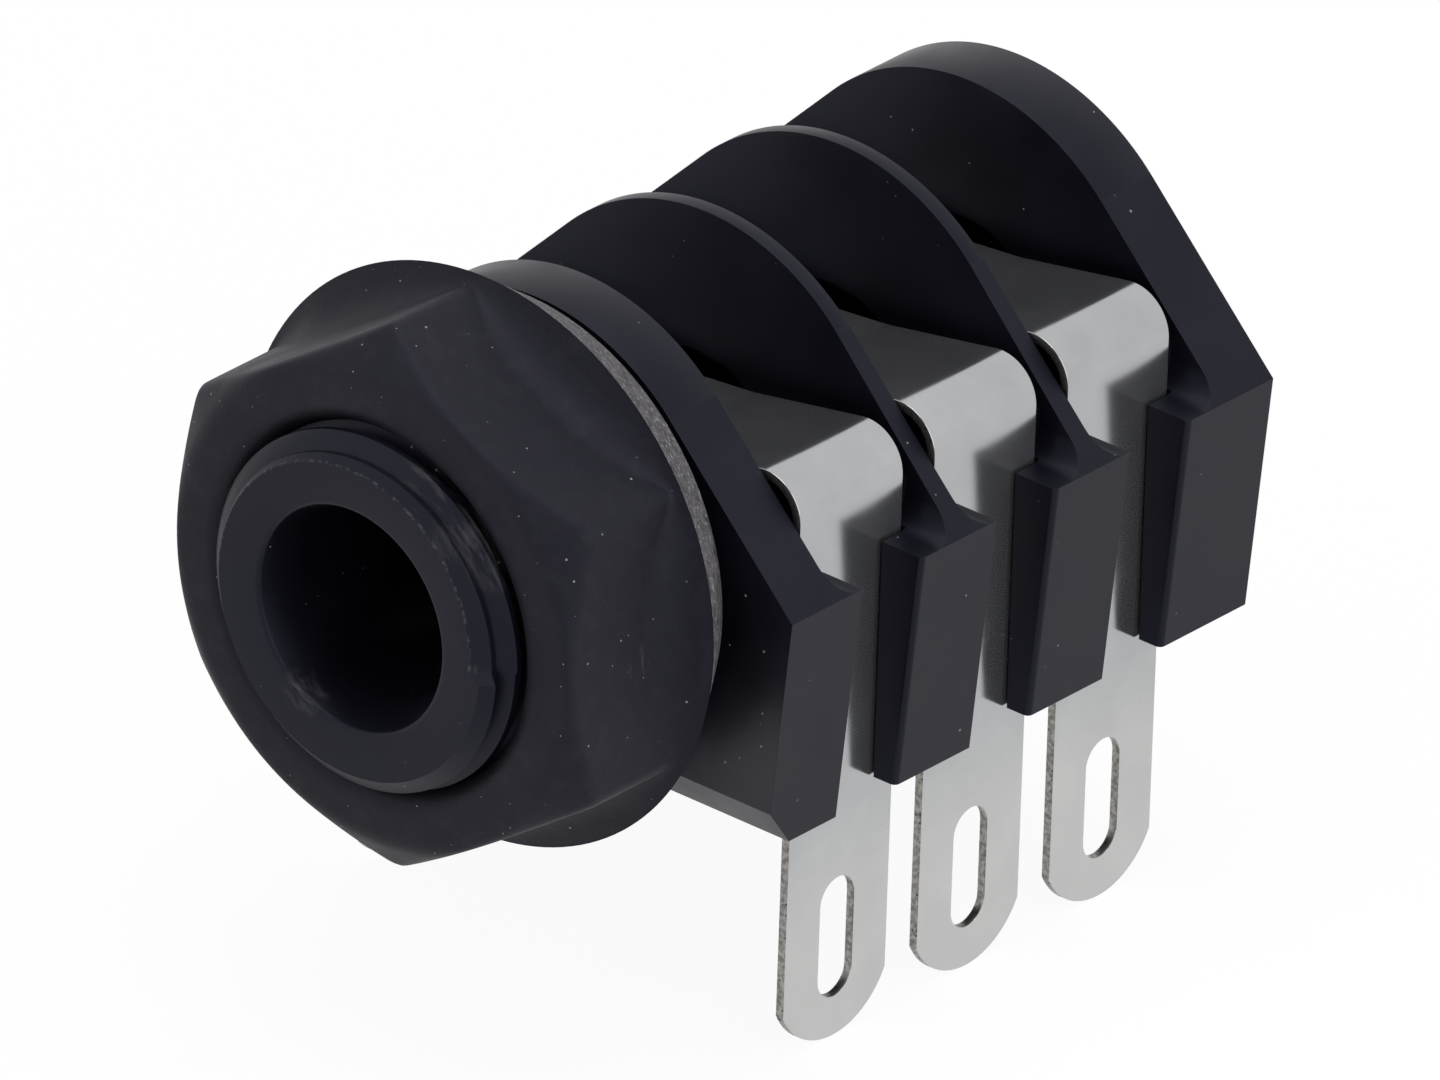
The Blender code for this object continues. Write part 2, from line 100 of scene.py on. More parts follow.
# %% [markdown]
# ## Sizes
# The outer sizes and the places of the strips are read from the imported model's boxes, so they follow it.
# The sizes that a box doesn't show, such as the thickness of a plate or the radius of a bend, are named
# values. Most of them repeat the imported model's, and fine ones such as the roundings are set here.

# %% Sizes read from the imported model
POLES = ("sleeve", "ring", "tip")
BODY_LOW, BODY_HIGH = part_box("body")
NUT_LOW, NUT_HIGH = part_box("panel_nut")
TAG_BOXES = {pole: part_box(f"{pole}_tag") for pole in POLES}
ARM_LOW, ARM_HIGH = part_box("sleeve_spring_arm")
BREAK_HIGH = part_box("sleeve_break_contact")[1]

MOUTH_Y, REAR_Y = BODY_LOW.y, BODY_HIGH.y
SHOULDER_X, BASE_Z, PLATE_TOP_Z = BODY_HIGH.x, BODY_LOW.z, BODY_HIGH.z
POLE_Y = [(TAG_BOXES[pole][0].y + TAG_BOXES[pole][1].y) / 2 for pole in POLES]
STRIP_WIDTH = TAG_BOXES["sleeve"][1].y - TAG_BOXES["sleeve"][0].y
STRIP_THICKNESS = TAG_BOXES["sleeve"][1].x - TAG_BOXES["sleeve"][0].x
STRIP_FACE_X = TAG_BOXES["sleeve"][1].x
TAG_TIP_Z = TAG_BOXES["sleeve"][0].z
STRIP_X = STRIP_FACE_X - STRIP_THICKNESS / 2
print(f"poles at {[round(y / MM, 3) for y in POLE_Y]} mm, strip {STRIP_WIDTH / MM:.2f} mm wide")

# %% Sizes of the moulded body
FRONT_PLATE = 2.2 * MM
DIVIDER_BASE = 0.78 * MM
DIVIDER_RIM = 0.56 * MM
REAR_PLATE = 2.45 * MM
PLATE_ARC_RADIUS = 7.8 * MM
PLATE_ARC_Z = PLATE_TOP_Z - PLATE_ARC_RADIUS
SHOULDER_Z = 0.55 * MM
BASE_X = 9.95 * MM
STRIP_GAP = 0.1 * MM
BLOCK_CAPTURE = 1.02 * MM
BLOCK_MOUTH = STRIP_WIDTH / 2 - BLOCK_CAPTURE
BLOCK_FILLET = 0.9 * MM
DECK_Z = 2.0 * MM
WALL = 1.15 * MM
WALL_RISE = 0.4 * MM
CORE_X = STRIP_FACE_X - STRIP_THICKNESS - STRIP_GAP
TOE_DEPTH = 1.1 * MM
TOE_HEIGHT = 1.4 * MM
BORE_RADIUS = 3.25 * MM
REAR_WALL = 0.7 * MM
BARREL_RADIUS = BORE_RADIUS + WALL
BLOCK_EDGE = 0.2 * MM
MOULD_EDGE = 0.09 * MM
ROUND_STEPS = 96

# How far a tool reaches past what it cuts, and how close points are that become one
PAST = 1.0 * MM
MERGE_DISTANCE = 0.0005 * MM
print(f"plates' top {PLATE_TOP_Z / MM:.2f} mm, base {BASE_Z / MM:.2f} mm, rear {REAR_Y / MM:.2f} mm")

# %% [markdown]
# ## Drawing helpers
# Nearly every shape here is an outline that is pushed, turned or swept. Curve objects could do that too,
# but a bmesh keeps all the steps in one mesh. The helper below draws an outline from a start point: a
# move is either a point to go to, or an arc, which bmesh makes by spinning the last vertex. Solids are
# then joined and cut with the exact Boolean solver, which keeps sharp, true edges.


# %% Draw outlines with points and arcs
def verts_in(geometry):
    return [item for item in geometry if isinstance(item, bmesh.types.BMVert)]


def draw(bm, start, *moves):
    """Edges from a start point. A move is a point, or (centre, axis, angle, steps) for an arc."""
    verts = [bm.verts.new(start)]
    for move in moves:
        if isinstance(move, Vector):
            verts.append(bm.verts.new(move))
            bm.edges.new(verts[-2:])
            continue
        centre, axis, angle, steps = move
        for _ in range(steps):
            swept = bmesh.ops.spin(bm, geom=[verts[-1]], cent=centre, axis=axis, angle=angle / steps,
                                   steps=1)
            verts += verts_in(swept["geom_last"])
    return verts


def push(bm, verts, vector):
    """Fills an outline and pushes it along a vector into a closed solid."""
    face = bm.faces.new(verts)
    swept = bmesh.ops.extrude_face_region(bm, geom=[face], use_keep_orig=True)["geom"]
    bmesh.ops.translate(bm, verts=verts_in(swept), vec=vector)
    bmesh.ops.recalc_face_normals(bm, faces=bm.faces)


def turn(bm, steps=ROUND_STEPS):
    """Turns everything drawn so far round the bore, which runs along Y."""
    geometry = bm.verts[:] + bm.edges[:]
    bmesh.ops.spin(bm, geom=geometry, cent=(0, 0, 0), axis=(0, 1, 0), angle=2 * math.pi, steps=steps,
                   use_merge=True)
    bmesh.ops.remove_doubles(bm, verts=bm.verts, dist=MERGE_DISTANCE)
    bmesh.ops.recalc_face_normals(bm, faces=bm.faces)


# %% Make objects, combine them and settle the result
def as_object(name, bm):
    mesh = bpy.data.meshes.new(name)
    bm.to_mesh(mesh)
    bm.free()
    obj = bpy.data.objects.new(name, mesh)
    bpy.context.scene.collection.objects.link(obj)
    return obj


def apply_modifiers(obj):
    """Replaces an object's mesh and modifiers by the finished mesh."""
    bpy.context.view_layer.update()
    graph = bpy.context.evaluated_depsgraph_get()
    mesh = bpy.data.meshes.new_from_object(obj.evaluated_get(graph))
    mesh.name = obj.name
    obj.modifiers.clear()
    obj.data = mesh


def combine(obj, tools, operation):
    """Adds, cuts or keeps what is shared with each tool. Merges what is double and removes the tools."""
    for tool in tools:
        modifier = obj.modifiers.new(tool.name, "BOOLEAN")
        modifier.operation = operation
        modifier.solver = "EXACT"
        modifier.object = tool
    apply_modifiers(obj)
    bm = bmesh.new()
    bm.from_mesh(obj.data)
    bmesh.ops.remove_doubles(bm, verts=bm.verts, dist=MERGE_DISTANCE)
    bmesh.ops.dissolve_degenerate(bm, edges=bm.edges, dist=MERGE_DISTANCE)
    bm.to_mesh(obj.data)
    bm.free()
    for tool in tools:
        bpy.data.objects.remove(tool, do_unlink=True)


def round_edges(obj, offset, segments, wanted):
    """Bevels the edges that a test picks. The test gets the edge and its turn, which is positive outside."""
    bm = bmesh.new()
    bm.from_mesh(obj.data)
    bm.normal_update()
    picked = []
    for edge in bm.edges:
        if edge.is_manifold and wanted(edge, edge.calc_face_angle_signed()):
            picked.append(edge)
    bmesh.ops.bevel(bm, geom=picked, offset=offset, segments=segments, affect="EDGES", profile=0.5,
                    material=-1, clamp_overlap=True)
    bmesh.ops.remove_doubles(bm, verts=bm.verts, dist=MERGE_DISTANCE)
    bm.to_mesh(obj.data)
    bm.free()
    print(f"{obj.name}: {len(picked)} edges rounded")


SHARP_ANGLE = math.radians(40)


def shade(obj, sharp_angle=SHARP_ANGLE):
    """Smooth shading that keeps flat faces flat and follows only the rounded edges."""
    obj.data.shade_smooth()
    obj.data.set_sharp_from_angle(angle=sharp_angle)
    weighted = obj.modifiers.new("flat faces", "WEIGHTED_NORMAL")
    weighted.keep_sharp = True
    apply_modifiers(obj)


def count(obj):
    obj.data.calc_loop_triangles()
    print(f"{obj.name}: {len(obj.data.loop_triangles)} triangles")


# %% [markdown]
# ## The moulded body
# One moulding: four plates in a row, a block under each end of a plate, a deck and two side walls between
# them, and the threaded bushing in front. Each plate could be drawn from the front and pushed back, but
# then it couldn't lean or run out in fillets. So plates and blocks are drawn from the side, as sections
# in Y and Z, and pushed right across the socket. One cut with the plates' front outline then trims them
# all, so that their outer faces lie on exactly the same planes.


# %% Sections of the plates and blocks
def plate_rear(i):
    """A dividing plate ends just in front of the strips of the pole behind it."""
    if i == 0:
        return FRONT_PLATE
    return REAR_Y if i == len(POLES) else POLE_Y[i] - STRIP_WIDTH / 2 - STRIP_GAP


def plate_front(i, z):
    """The dividing plates lean, so that they are thinner at the rim."""
    if i == 0:
        return 0
    if i == len(POLES):
        return REAR_Y - REAR_PLATE
    slope = (DIVIDER_BASE - DIVIDER_RIM) / (PLATE_TOP_Z - SHOULDER_Z)
    return plate_rear(i) - DIVIDER_RIM - slope * (PLATE_TOP_Z - z)


def plate_solid(i):
    low, top, reach = BASE_Z - PAST, PLATE_TOP_Z + PAST, SHOULDER_X + PAST
    bm = bmesh.new()
    spots = [(plate_front(i, low), low), (plate_rear(i), low),
             (plate_rear(i), top), (plate_front(i, top), top)]
    push(bm, draw(bm, *[Vector((-reach, y, z)) for y, z in spots]), (2 * reach, 0, 0))
    return as_object(f"plate_{i + 1}", bm)


FILLET_STEPS = 10
ALONG_X = Vector((1, 0, 0))


def block_solid(i, front, rear, side):
    """A block with a hollow fillet from its top up to each face of its plate."""
    inner, outer = CORE_X - WALL, SHOULDER_X + PAST
    low, high, quarter = BASE_Z - PAST, SHOULDER_Z + BLOCK_FILLET, math.pi / 2
    bm = bmesh.new()
    moves = [Vector((inner, rear, low))]
    if plate_rear(i) < rear:
        centre = Vector((inner, plate_rear(i) + BLOCK_FILLET, high))
        moves += [Vector((inner, rear, SHOULDER_Z)), Vector((inner, centre.y, SHOULDER_Z)),
                  (centre, ALONG_X, -quarter, FILLET_STEPS)]
    else:
        moves += [Vector((inner, rear, high))]
    if plate_front(i, high) > front:
        centre = Vector((inner, plate_front(i, high) - BLOCK_FILLET, high))
        moves += [Vector((inner, plate_front(i, high), high)), (centre, ALONG_X, -quarter, FILLET_STEPS),
                  Vector((inner, front, SHOULDER_Z))]
    else:
        moves += [Vector((inner, front, high))]
    push(bm, draw(bm, Vector((inner, front, low)), *moves), (outer - inner, 0, 0))
    if side < 0:
        bmesh.ops.scale(bm, verts=bm.verts, vec=(-1, 1, 1))
        bmesh.ops.recalc_face_normals(bm, faces=bm.faces)
    return as_object(f"block_{i + 1}_{'right' if side > 0 else 'left'}", bm)


# %% Front outline of the plates
RIM_STEPS = 72
ALONG_Y = Vector((0, 1, 0))


def outline_solid():
    """Round top on a tangent down to each shoulder, then a slightly tapered base."""
    reach = math.hypot(SHOULDER_X, SHOULDER_Z - PLATE_ARC_Z)
    lean = math.atan2(SHOULDER_Z - PLATE_ARC_Z, SHOULDER_X)
    start = lean + math.acos(PLATE_ARC_RADIUS / reach)
    y = -PAST
    first = Vector((PLATE_ARC_RADIUS * math.cos(start), y, PLATE_ARC_Z + PLATE_ARC_RADIUS * math.sin(start)))
    bm = bmesh.new()
    verts = draw(bm, Vector((-BASE_X, y, BASE_Z)), Vector((BASE_X, y, BASE_Z)),
                 Vector((SHOULDER_X, y, SHOULDER_Z)), first,
                 (Vector((0, y, PLATE_ARC_Z)), ALONG_Y, 2 * start - math.pi, RIM_STEPS),
                 Vector((-SHOULDER_X, y, SHOULDER_Z)))
    push(bm, verts, (0, REAR_Y + 2 * PAST, 0))
    return as_object("outline", bm)


# %% Plates and blocks in one piece, edges rounded
BLOCK_EDGE_STEPS = 4
MOULD_EDGE_STEPS = 3
MOULD_EDGE_ANGLE = math.radians(28)
block_fronts = [0] + [pole_y + BLOCK_MOUTH for pole_y in POLE_Y]
block_rears = [pole_y - BLOCK_MOUTH for pole_y in POLE_Y] + [REAR_Y]
body = plate_solid(0)
body.name = "moulded_body"
combine(body, [plate_solid(i) for i in range(1, len(POLES) + 1)], "UNION")
blocks = []
for i, (front, rear) in enumerate(zip(block_fronts, block_rears)):
    blocks += [block_solid(i, front, rear, side) for side in (1, -1)]
combine(body, blocks, "UNION")
combine(body, [outline_solid()], "INTERSECT")


def block_upright(edge, angle):
    """True for the upright front edges on the outer faces of the blocks behind the bays."""
    spots = [vert.co for vert in edge.verts]
    outermost = min(abs(spot.x) for spot in spots) > BASE_X - MOULD_EDGE
    tall = abs(spots[0].z - spots[1].z) > (SHOULDER_Z - BASE_Z) / 2
    return outermost and tall and any(abs(spots[0].y - y) < MOULD_EDGE for y in block_fronts[1:])


round_edges(body, BLOCK_EDGE, BLOCK_EDGE_STEPS, block_upright)
round_edges(body, MOULD_EDGE, MOULD_EDGE_STEPS, lambda edge, angle: angle > MOULD_EDGE_ANGLE)
count(body)

# %% [markdown]
# ## Deck, side walls and barrel
# Behind the strips the moulding is a channel, open below, with the bore's barrel running through it. The
# barrel's wall stops inside the deck, so the bore is open upwards and the spring arms can dip into it.
# Both are drawn from the front and pushed back. They start and end inside the outer plates, so that no
# two faces lie on one another where a Boolean has to join them.


# %% Deck, walls and barrel
def core_solid():
    low, inner, y = BASE_Z + WALL_RISE, CORE_X - WALL, FRONT_PLATE / 2
    bm = bmesh.new()
    spots = [(-CORE_X, low), (-CORE_X, DECK_Z), (CORE_X, DECK_Z), (CORE_X, low),
             (inner, low), (inner, DECK_Z - WALL), (-inner, DECK_Z - WALL), (-inner, low)]
    push(bm, draw(bm, *[Vector((x, y, z)) for x, z in spots]), (0, REAR_Y - REAR_PLATE / 2 - y, 0))
    return as_object("core", bm)


def barrel_solid():
    start = math.asin((DECK_Z - WALL / 2) / BARREL_RADIUS)
    y = FRONT_PLATE / 3
    bm = bmesh.new()
    first = Vector((BARREL_RADIUS * math.cos(start), y, BARREL_RADIUS * math.sin(start)))
    verts = draw(bm, first, (Vector((0, y, 0)), ALONG_Y, math.pi + 2 * start, ROUND_STEPS // 2))
    push(bm, verts, (0, REAR_Y - REAR_PLATE / 3 - y, 0))
    return as_object("barrel", bm)


combine(body, [core_solid(), barrel_solid()], "UNION")
count(body)

# %% [markdown]
# ## The threaded bushing
# The thread is M12 with a pitch of 1 mm. Bump could draw it, but its outline shows against the nut. So a
# smooth root cylinder gets a ridge, which is one small outline swept round and along the bore by a single
# spin. An envelope with a lead-in cone then trims both, so that the ridge runs out of the cone little by
# little, as a moulded thread does. The flat face in front of the cone ends in a spiral with a step on the
# right, as in the photograph. The envelope's section therefore changes round the bore, so it is made as a
# loft: a ladder with one rung for each point of the section is spun, and then every point moves to where
# its angle's section has it.

# %% Thread
THREAD_CREST = 5.97 * MM
THREAD_ROOT = 5.4 * MM
THREAD_PITCH = 1.0 * MM
THREAD_TURNS = 10
THREAD_PHASE = 0.92 * MM
RIDGE_BASE = 0.74 * MM
RIDGE_CREST = 0.3 * MM
RIDGE_SINK = 0.1 * MM
RIDGE_FLARE = 0.06 * MM
RIDGE_TRIM = 0.02 * MM
FACE_RADIUS = 4.88 * MM
FACE_RADIUS_LEFT = 5.38 * MM
FACE_RADIUS_STEP = 5.32 * MM
CONE_SLOPE = 0.94
MOUTH_FLARE = 0.5 * MM
MOUTH_FLARE_DEPTH = 1.6 * MM
MOUTH_LIP = 0.14 * MM
BUSHING_ROOT_Y = FRONT_PLATE / 2
STEPS_A_TURN = 72


def sweep_ridge(name, spots, turns, rise):
    """Sweeps an outline of (radius, y) round the bore, moving along it by rise for each turn."""
    bm = bmesh.new()
    face = bm.faces.new(draw(bm, *[Vector((radius, y, 0)) for radius, y in spots]))
    steps = STEPS_A_TURN * turns
    bmesh.ops.spin(bm, geom=[face, *face.edges, *face.verts], cent=(0, 0, 0), axis=ALONG_Y,
                   angle=2 * math.pi * turns, dvec=(0, rise * turns / steps, 0), steps=steps)
    bmesh.ops.remove_doubles(bm, verts=bm.verts, dist=MERGE_DISTANCE)
    bmesh.ops.recalc_face_normals(bm, faces=bm.faces)
    return as_object(name, bm)


def turned_solid(name, spots):
    """A profile of (radius, y) that starts and ends on the bore's axis, turned round it."""
    bm = bmesh.new()
    draw(bm, *[Vector((radius, y, 0)) for radius, y in spots])
    turn(bm)
    return as_object(name, bm)


def lofted_solid(name, radius, steps, section_at):
    """A spun ladder. section_at gives the direction and the points (radius, y) that belong to an angle."""
    bm = bmesh.new()
    ladder = draw(bm, *[Vector((radius, row * MM, 0)) for row in range(len(section_at(0)[1]))])
    bm.edges.new((ladder[-1], ladder[0]))
    turn(bm, steps)
    for vert in bm.verts:
        direction, spots = section_at(math.atan2(vert.co.z, vert.co.x))
        from_axis, y = spots[round(vert.co.y / MM)]
        vert.co = (from_axis * math.cos(direction), y, from_axis * math.sin(direction))
    bmesh.ops.recalc_face_normals(bm, faces=bm.faces)
    return as_object(name, bm)


# %% The bushing's envelope and ridge
def face_radius(angle):
    """Where the flat face ends: a spiral over the top to the left, then back below to the step."""
    share = angle / math.pi
    if share < 1:
        return FACE_RADIUS + (FACE_RADIUS_LEFT - FACE_RADIUS) * share
    return FACE_RADIUS_LEFT + (FACE_RADIUS_STEP - FACE_RADIUS_LEFT) * (share - 1)


def envelope_section(angle):
    """The bushing's section at an angle: face, cone and crest, with a wall that stands in the bore."""
    direction = angle % (2 * math.pi)
    inner, edge = BORE_RADIUS / 2, face_radius(direction)
    cone_end = MOUTH_Y + (THREAD_CREST - edge) * CONE_SLOPE
    return direction, ((inner, MOUTH_Y), (edge, MOUTH_Y), (THREAD_CREST, cone_end),
                       (THREAD_CREST, BUSHING_ROOT_Y), (inner, BUSHING_ROOT_Y))


ridge_y = MOUTH_Y - THREAD_PHASE
ridge_foot = THREAD_ROOT - RIDGE_SINK
ridge_top = THREAD_CREST + RIDGE_TRIM
ridge_spots = [(ridge_foot, ridge_y - RIDGE_BASE / 2 - RIDGE_FLARE), (ridge_top, ridge_y - RIDGE_CREST / 2),
               (ridge_top, ridge_y + RIDGE_CREST / 2), (ridge_foot, ridge_y + RIDGE_BASE / 2 + RIDGE_FLARE)]
bushing = turned_solid("bushing", [(0, MOUTH_Y - PAST), (THREAD_ROOT, MOUTH_Y - PAST),
                                   (THREAD_ROOT, BUSHING_ROOT_Y), (0, BUSHING_ROOT_Y)])
combine(bushing, [sweep_ridge("ridge", ridge_spots, THREAD_TURNS, THREAD_PITCH)], "UNION")
combine(bushing, [lofted_solid("envelope", THREAD_ROOT, ROUND_STEPS, envelope_section)], "INTERSECT")
count(bushing)

# %% Bushing joined on, bore cut with a soft lip
SOFT_SHARE = 0.45
SOFT_STEPS = 4


def soften(before, corner, after, reach):
    """Points that round a corner. The rounding takes no more than a set share of the sides beside it."""
    start = corner + (before - corner) * min(SOFT_SHARE, reach / (before - corner).length)
    end = corner + (after - corner) * min(SOFT_SHARE, reach / (after - corner).length)
    shares = [i / SOFT_STEPS for i in range(SOFT_STEPS + 1)]
    return [start.lerp(corner, share).lerp(corner.lerp(end, share), share) for share in shares]


combine(body, [bushing], "UNION")
lip = Vector((BORE_RADIUS + MOUTH_FLARE, MOUTH_Y))
throat = Vector((BORE_RADIUS, MOUTH_Y + MOUTH_FLARE_DEPTH))
lip_spots = soften(Vector((FACE_RADIUS, MOUTH_Y)), lip, throat, MOUTH_LIP)
bore = turned_solid("bore", [(0, MOUTH_Y - PAST), (lip_spots[0].x, MOUTH_Y - PAST), *lip_spots, throat,
                             (BORE_RADIUS, REAR_Y - REAR_WALL), (0, REAR_Y - REAR_WALL)])
combine(body, [bore], "DIFFERENCE")
count(body)

# %% [markdown]
# ## Slots and toe
# Each strip is held by its edges, in a slot that runs down through two blocks. The blocks could be drawn
# with their slots from the start, but cutting the slots last, through the finished moulding, keeps each
# pair in line. The slope under the front plate's toe is cut in the same way.


# %% Slots for the strips, and the sloping toe
def slot_solid(pole_y, side):
    """A slot down through the blocks on both sides of a bay, which holds the edges of one strip."""
    half = STRIP_WIDTH / 2 + STRIP_GAP
    low, high = BASE_Z - PAST, DECK_Z + PAST
    inner, outer = side * CORE_X, side * (STRIP_FACE_X + STRIP_GAP)
    bm = bmesh.new()
    spots = [(inner, low), (outer, low), (outer, high), (inner, high)]
    push(bm, draw(bm, *[Vector((x, pole_y - half, z)) for x, z in spots]), (0, 2 * half, 0))
    return as_object("slot", bm)


def toe_solid():
    reach = SHOULDER_X + PAST
    spots = [(-PAST, BASE_Z - PAST), (TOE_DEPTH + PAST * TOE_DEPTH / TOE_HEIGHT, BASE_Z - PAST),
             (0, BASE_Z + TOE_HEIGHT), (-PAST, BASE_Z + TOE_HEIGHT)]
    bm = bmesh.new()
    push(bm, draw(bm, *[Vector((-reach, y, z)) for y, z in spots]), (2 * reach, 0, 0))
    return as_object("toe", bm)


slots = [slot_solid(pole_y, side) for pole_y in POLE_Y for side in (1, -1)]
combine(body, [*slots, toe_solid()], "DIFFERENCE")
shade(body)
count(body)

# %% [markdown]
# ## The flanged nut
# A hexagon on a thin round flange. The hollow fillet between them is widest along the middle of each flat
# and narrows to nothing at the corners, so the nut's section changes all the way round. A bevel between a
# hexagon and a cone can't narrow like that, so the nut is a loft, as the bushing's envelope is. The
# flange tapers away behind its rim, where a hair of mould flash stands.

# %% Sizes of the nut
NUT_APOTHEM = 8.12 * MM
NUT_TURN = math.radians(2.9)
NUT_RIM_Y = -2.43 * MM
NUT_CHAMFER_RADIUS = 7.92 * MM
NUT_CHAMFER_SLOPE = math.radians(40)
NUT_CORNER_ROUND = 0.6 * MM
NUT_MOUTH_ROUND = 0.8 * MM
NUT_SOFT_EDGE = 0.35 * MM
NUT_HOLE = 6.0 * MM
NUT_COUNTERSINK = 0.55 * MM
NUT_THREAD_DEPTH = 0.25 * MM
NUT_SHARP_ANGLE = math.radians(30)
FLANGE_RADIUS = (NUT_HIGH.x - NUT_LOW.x) / 2
FLANGE_BACK_RADIUS = 8.3 * MM
FLANGE_SLOPE = math.radians(23)
FLANGE_FILLET = 1.6 * MM
FLANGE_EDGE = 0.2 * MM
FLASH = 0.05 * MM
FLASH_CHANGE = 0.5
FLASH_WAVES = (7, 18)
FLASH_PHASE = 1.0
FLAT_STEPS = 24
CORNER_STEPS = 6
MOUTH_STEPS = 10
FILLET_ROUND_STEPS = 16

# Shares of the pitch: the first groove's start behind the mouth, and a groove's bottom and end
GROOVE_START = 0.25
GROOVE_BOTTOM = 0.3
GROOVE_END = 0.6
print(f"nut {2 * NUT_APOTHEM / MM:.2f} mm across its flats, flange {2 * FLANGE_RADIUS / MM:.2f} mm across")


# %% The nut's section at an angle
def nut_angles():
    """Angles from one flat's middle on: along each flat, then round the next corner."""
    flat_end = math.atan((NUT_APOTHEM - NUT_CORNER_ROUND) * math.tan(math.pi / 6) / NUT_APOTHEM)
    one_side = [flat_end * (2 * j / FLAT_STEPS - 1) for j in range(FLAT_STEPS + 1)]
    one_side += [flat_end + (math.pi / 3 - 2 * flat_end) * j / CORNER_STEPS for j in range(1, CORNER_STEPS)]
    return [side * math.pi / 3 + angle for side in range(6) for angle in one_side]


def hexagon_radius(angle):
    """How far from the axis the hexagon with its rounded corners is."""
    from_flat = abs((angle + math.pi / 6) % (math.pi / 3) - math.pi / 6)
    from_corner = math.pi / 6 - from_flat
    round_centre = (NUT_APOTHEM - NUT_CORNER_ROUND) / math.cos(math.pi / 6)
    offset = round_centre * math.sin(from_corner)
    if offset < NUT_CORNER_ROUND * math.sin(math.pi / 6 - from_corner):
        return round_centre * math.cos(from_corner) + math.sqrt(NUT_CORNER_ROUND ** 2 - offset ** 2)
    return NUT_APOTHEM / math.cos(from_flat)


def thread_spots():
    """The grooves of the nut's own thread, from the front back. They lie outside the bushing's thread."""
    spots = []
    y = NUT_LOW.y + NUT_MOUTH_ROUND + THREAD_PITCH * GROOVE_START
    while y + THREAD_PITCH < NUT_HIGH.y - NUT_COUNTERSINK:
        spots += [(NUT_HOLE, y), (NUT_HOLE + NUT_THREAD_DEPTH, y + THREAD_PITCH * GROOVE_BOTTOM),
                  (NUT_HOLE, y + THREAD_PITCH * GROOVE_END)]
        y += THREAD_PITCH
    return [Vector(spot) for spot in spots]


def round_points(centre, radius, start, end, steps):
    """Points (radius, y) of an arc in the section, angles in radians from the outward direction."""
    angles = [start + (end - start) * i / steps for i in range(steps + 1)]
    return [Vector((centre[0] + radius * math.cos(angle), centre[1] + radius * math.sin(angle)))
            for angle in angles]


def nut_section(radius, flash):
    """Closed section where the hexagon has this radius, from the hole's mouth round to its thread."""
    front, sine, slope = NUT_LOW.y, math.sin(FLANGE_SLOPE), math.tan(FLANGE_SLOPE)
    mouth = round_points((NUT_HOLE + NUT_MOUTH_ROUND, front + NUT_MOUTH_ROUND), NUT_MOUTH_ROUND, -math.pi,
                         -math.pi / 2, MOUTH_STEPS)
    face_end = Vector((NUT_CHAMFER_RADIUS, front))
    flat_top = Vector((radius, front + (radius - NUT_CHAMFER_RADIUS) * math.tan(NUT_CHAMFER_SLOPE)))
    fillet = min(FLANGE_FILLET, (FLANGE_RADIUS - FLANGE_EDGE - radius) / (1 - sine))
    foot_x = radius + fillet * (1 - sine)
    foot_y = NUT_RIM_Y - (FLANGE_RADIUS - foot_x) * slope
    centre = (radius + fillet, foot_y - fillet * math.cos(FLANGE_SLOPE))
    hollow = round_points(centre, fillet, math.pi, math.pi / 2 + FLANGE_SLOPE, FILLET_ROUND_STEPS)
    rim = [(FLANGE_RADIUS - FLANGE_EDGE, NUT_RIM_Y - FLANGE_EDGE * slope),
           (FLANGE_RADIUS - flash, NUT_RIM_Y - flash / 4), (FLANGE_RADIUS, NUT_RIM_Y),
           (FLANGE_RADIUS - flash, NUT_RIM_Y + flash),
           (FLANGE_BACK_RADIUS, NUT_HIGH.y), (NUT_HOLE + NUT_COUNTERSINK, NUT_HIGH.y),
           (NUT_HOLE, NUT_HIGH.y - NUT_COUNTERSINK)]
    return [*mouth, *soften(mouth[-1], face_end, flat_top, NUT_SOFT_EDGE),
            *soften(face_end, flat_top, hollow[0], NUT_SOFT_EDGE), *hollow, *[Vector(spot) for spot in rim],
            *reversed(thread_spots())]


# %% Ladder spun and lofted
nut_rings = nut_angles()
nut_sections = []
for angle in nut_rings:
    wave = math.sin(FLASH_WAVES[0] * angle) * math.sin(FLASH_WAVES[1] * angle + FLASH_PHASE)
    nut_sections.append(nut_section(hexagon_radius(angle), FLASH * (1 + FLASH_CHANGE * wave)))


def nut_section_at(angle):
    """The spun ring at an angle takes the direction and section of the ring with its number."""
    ring = round(angle / (2 * math.pi) * len(nut_rings)) % len(nut_rings)
    return nut_rings[ring] + NUT_TURN, nut_sections[ring]


nut = lofted_solid("panel_nut_finish", NUT_HOLE, len(nut_rings), nut_section_at)
shade(nut, NUT_SHARP_ANGLE)
count(nut)
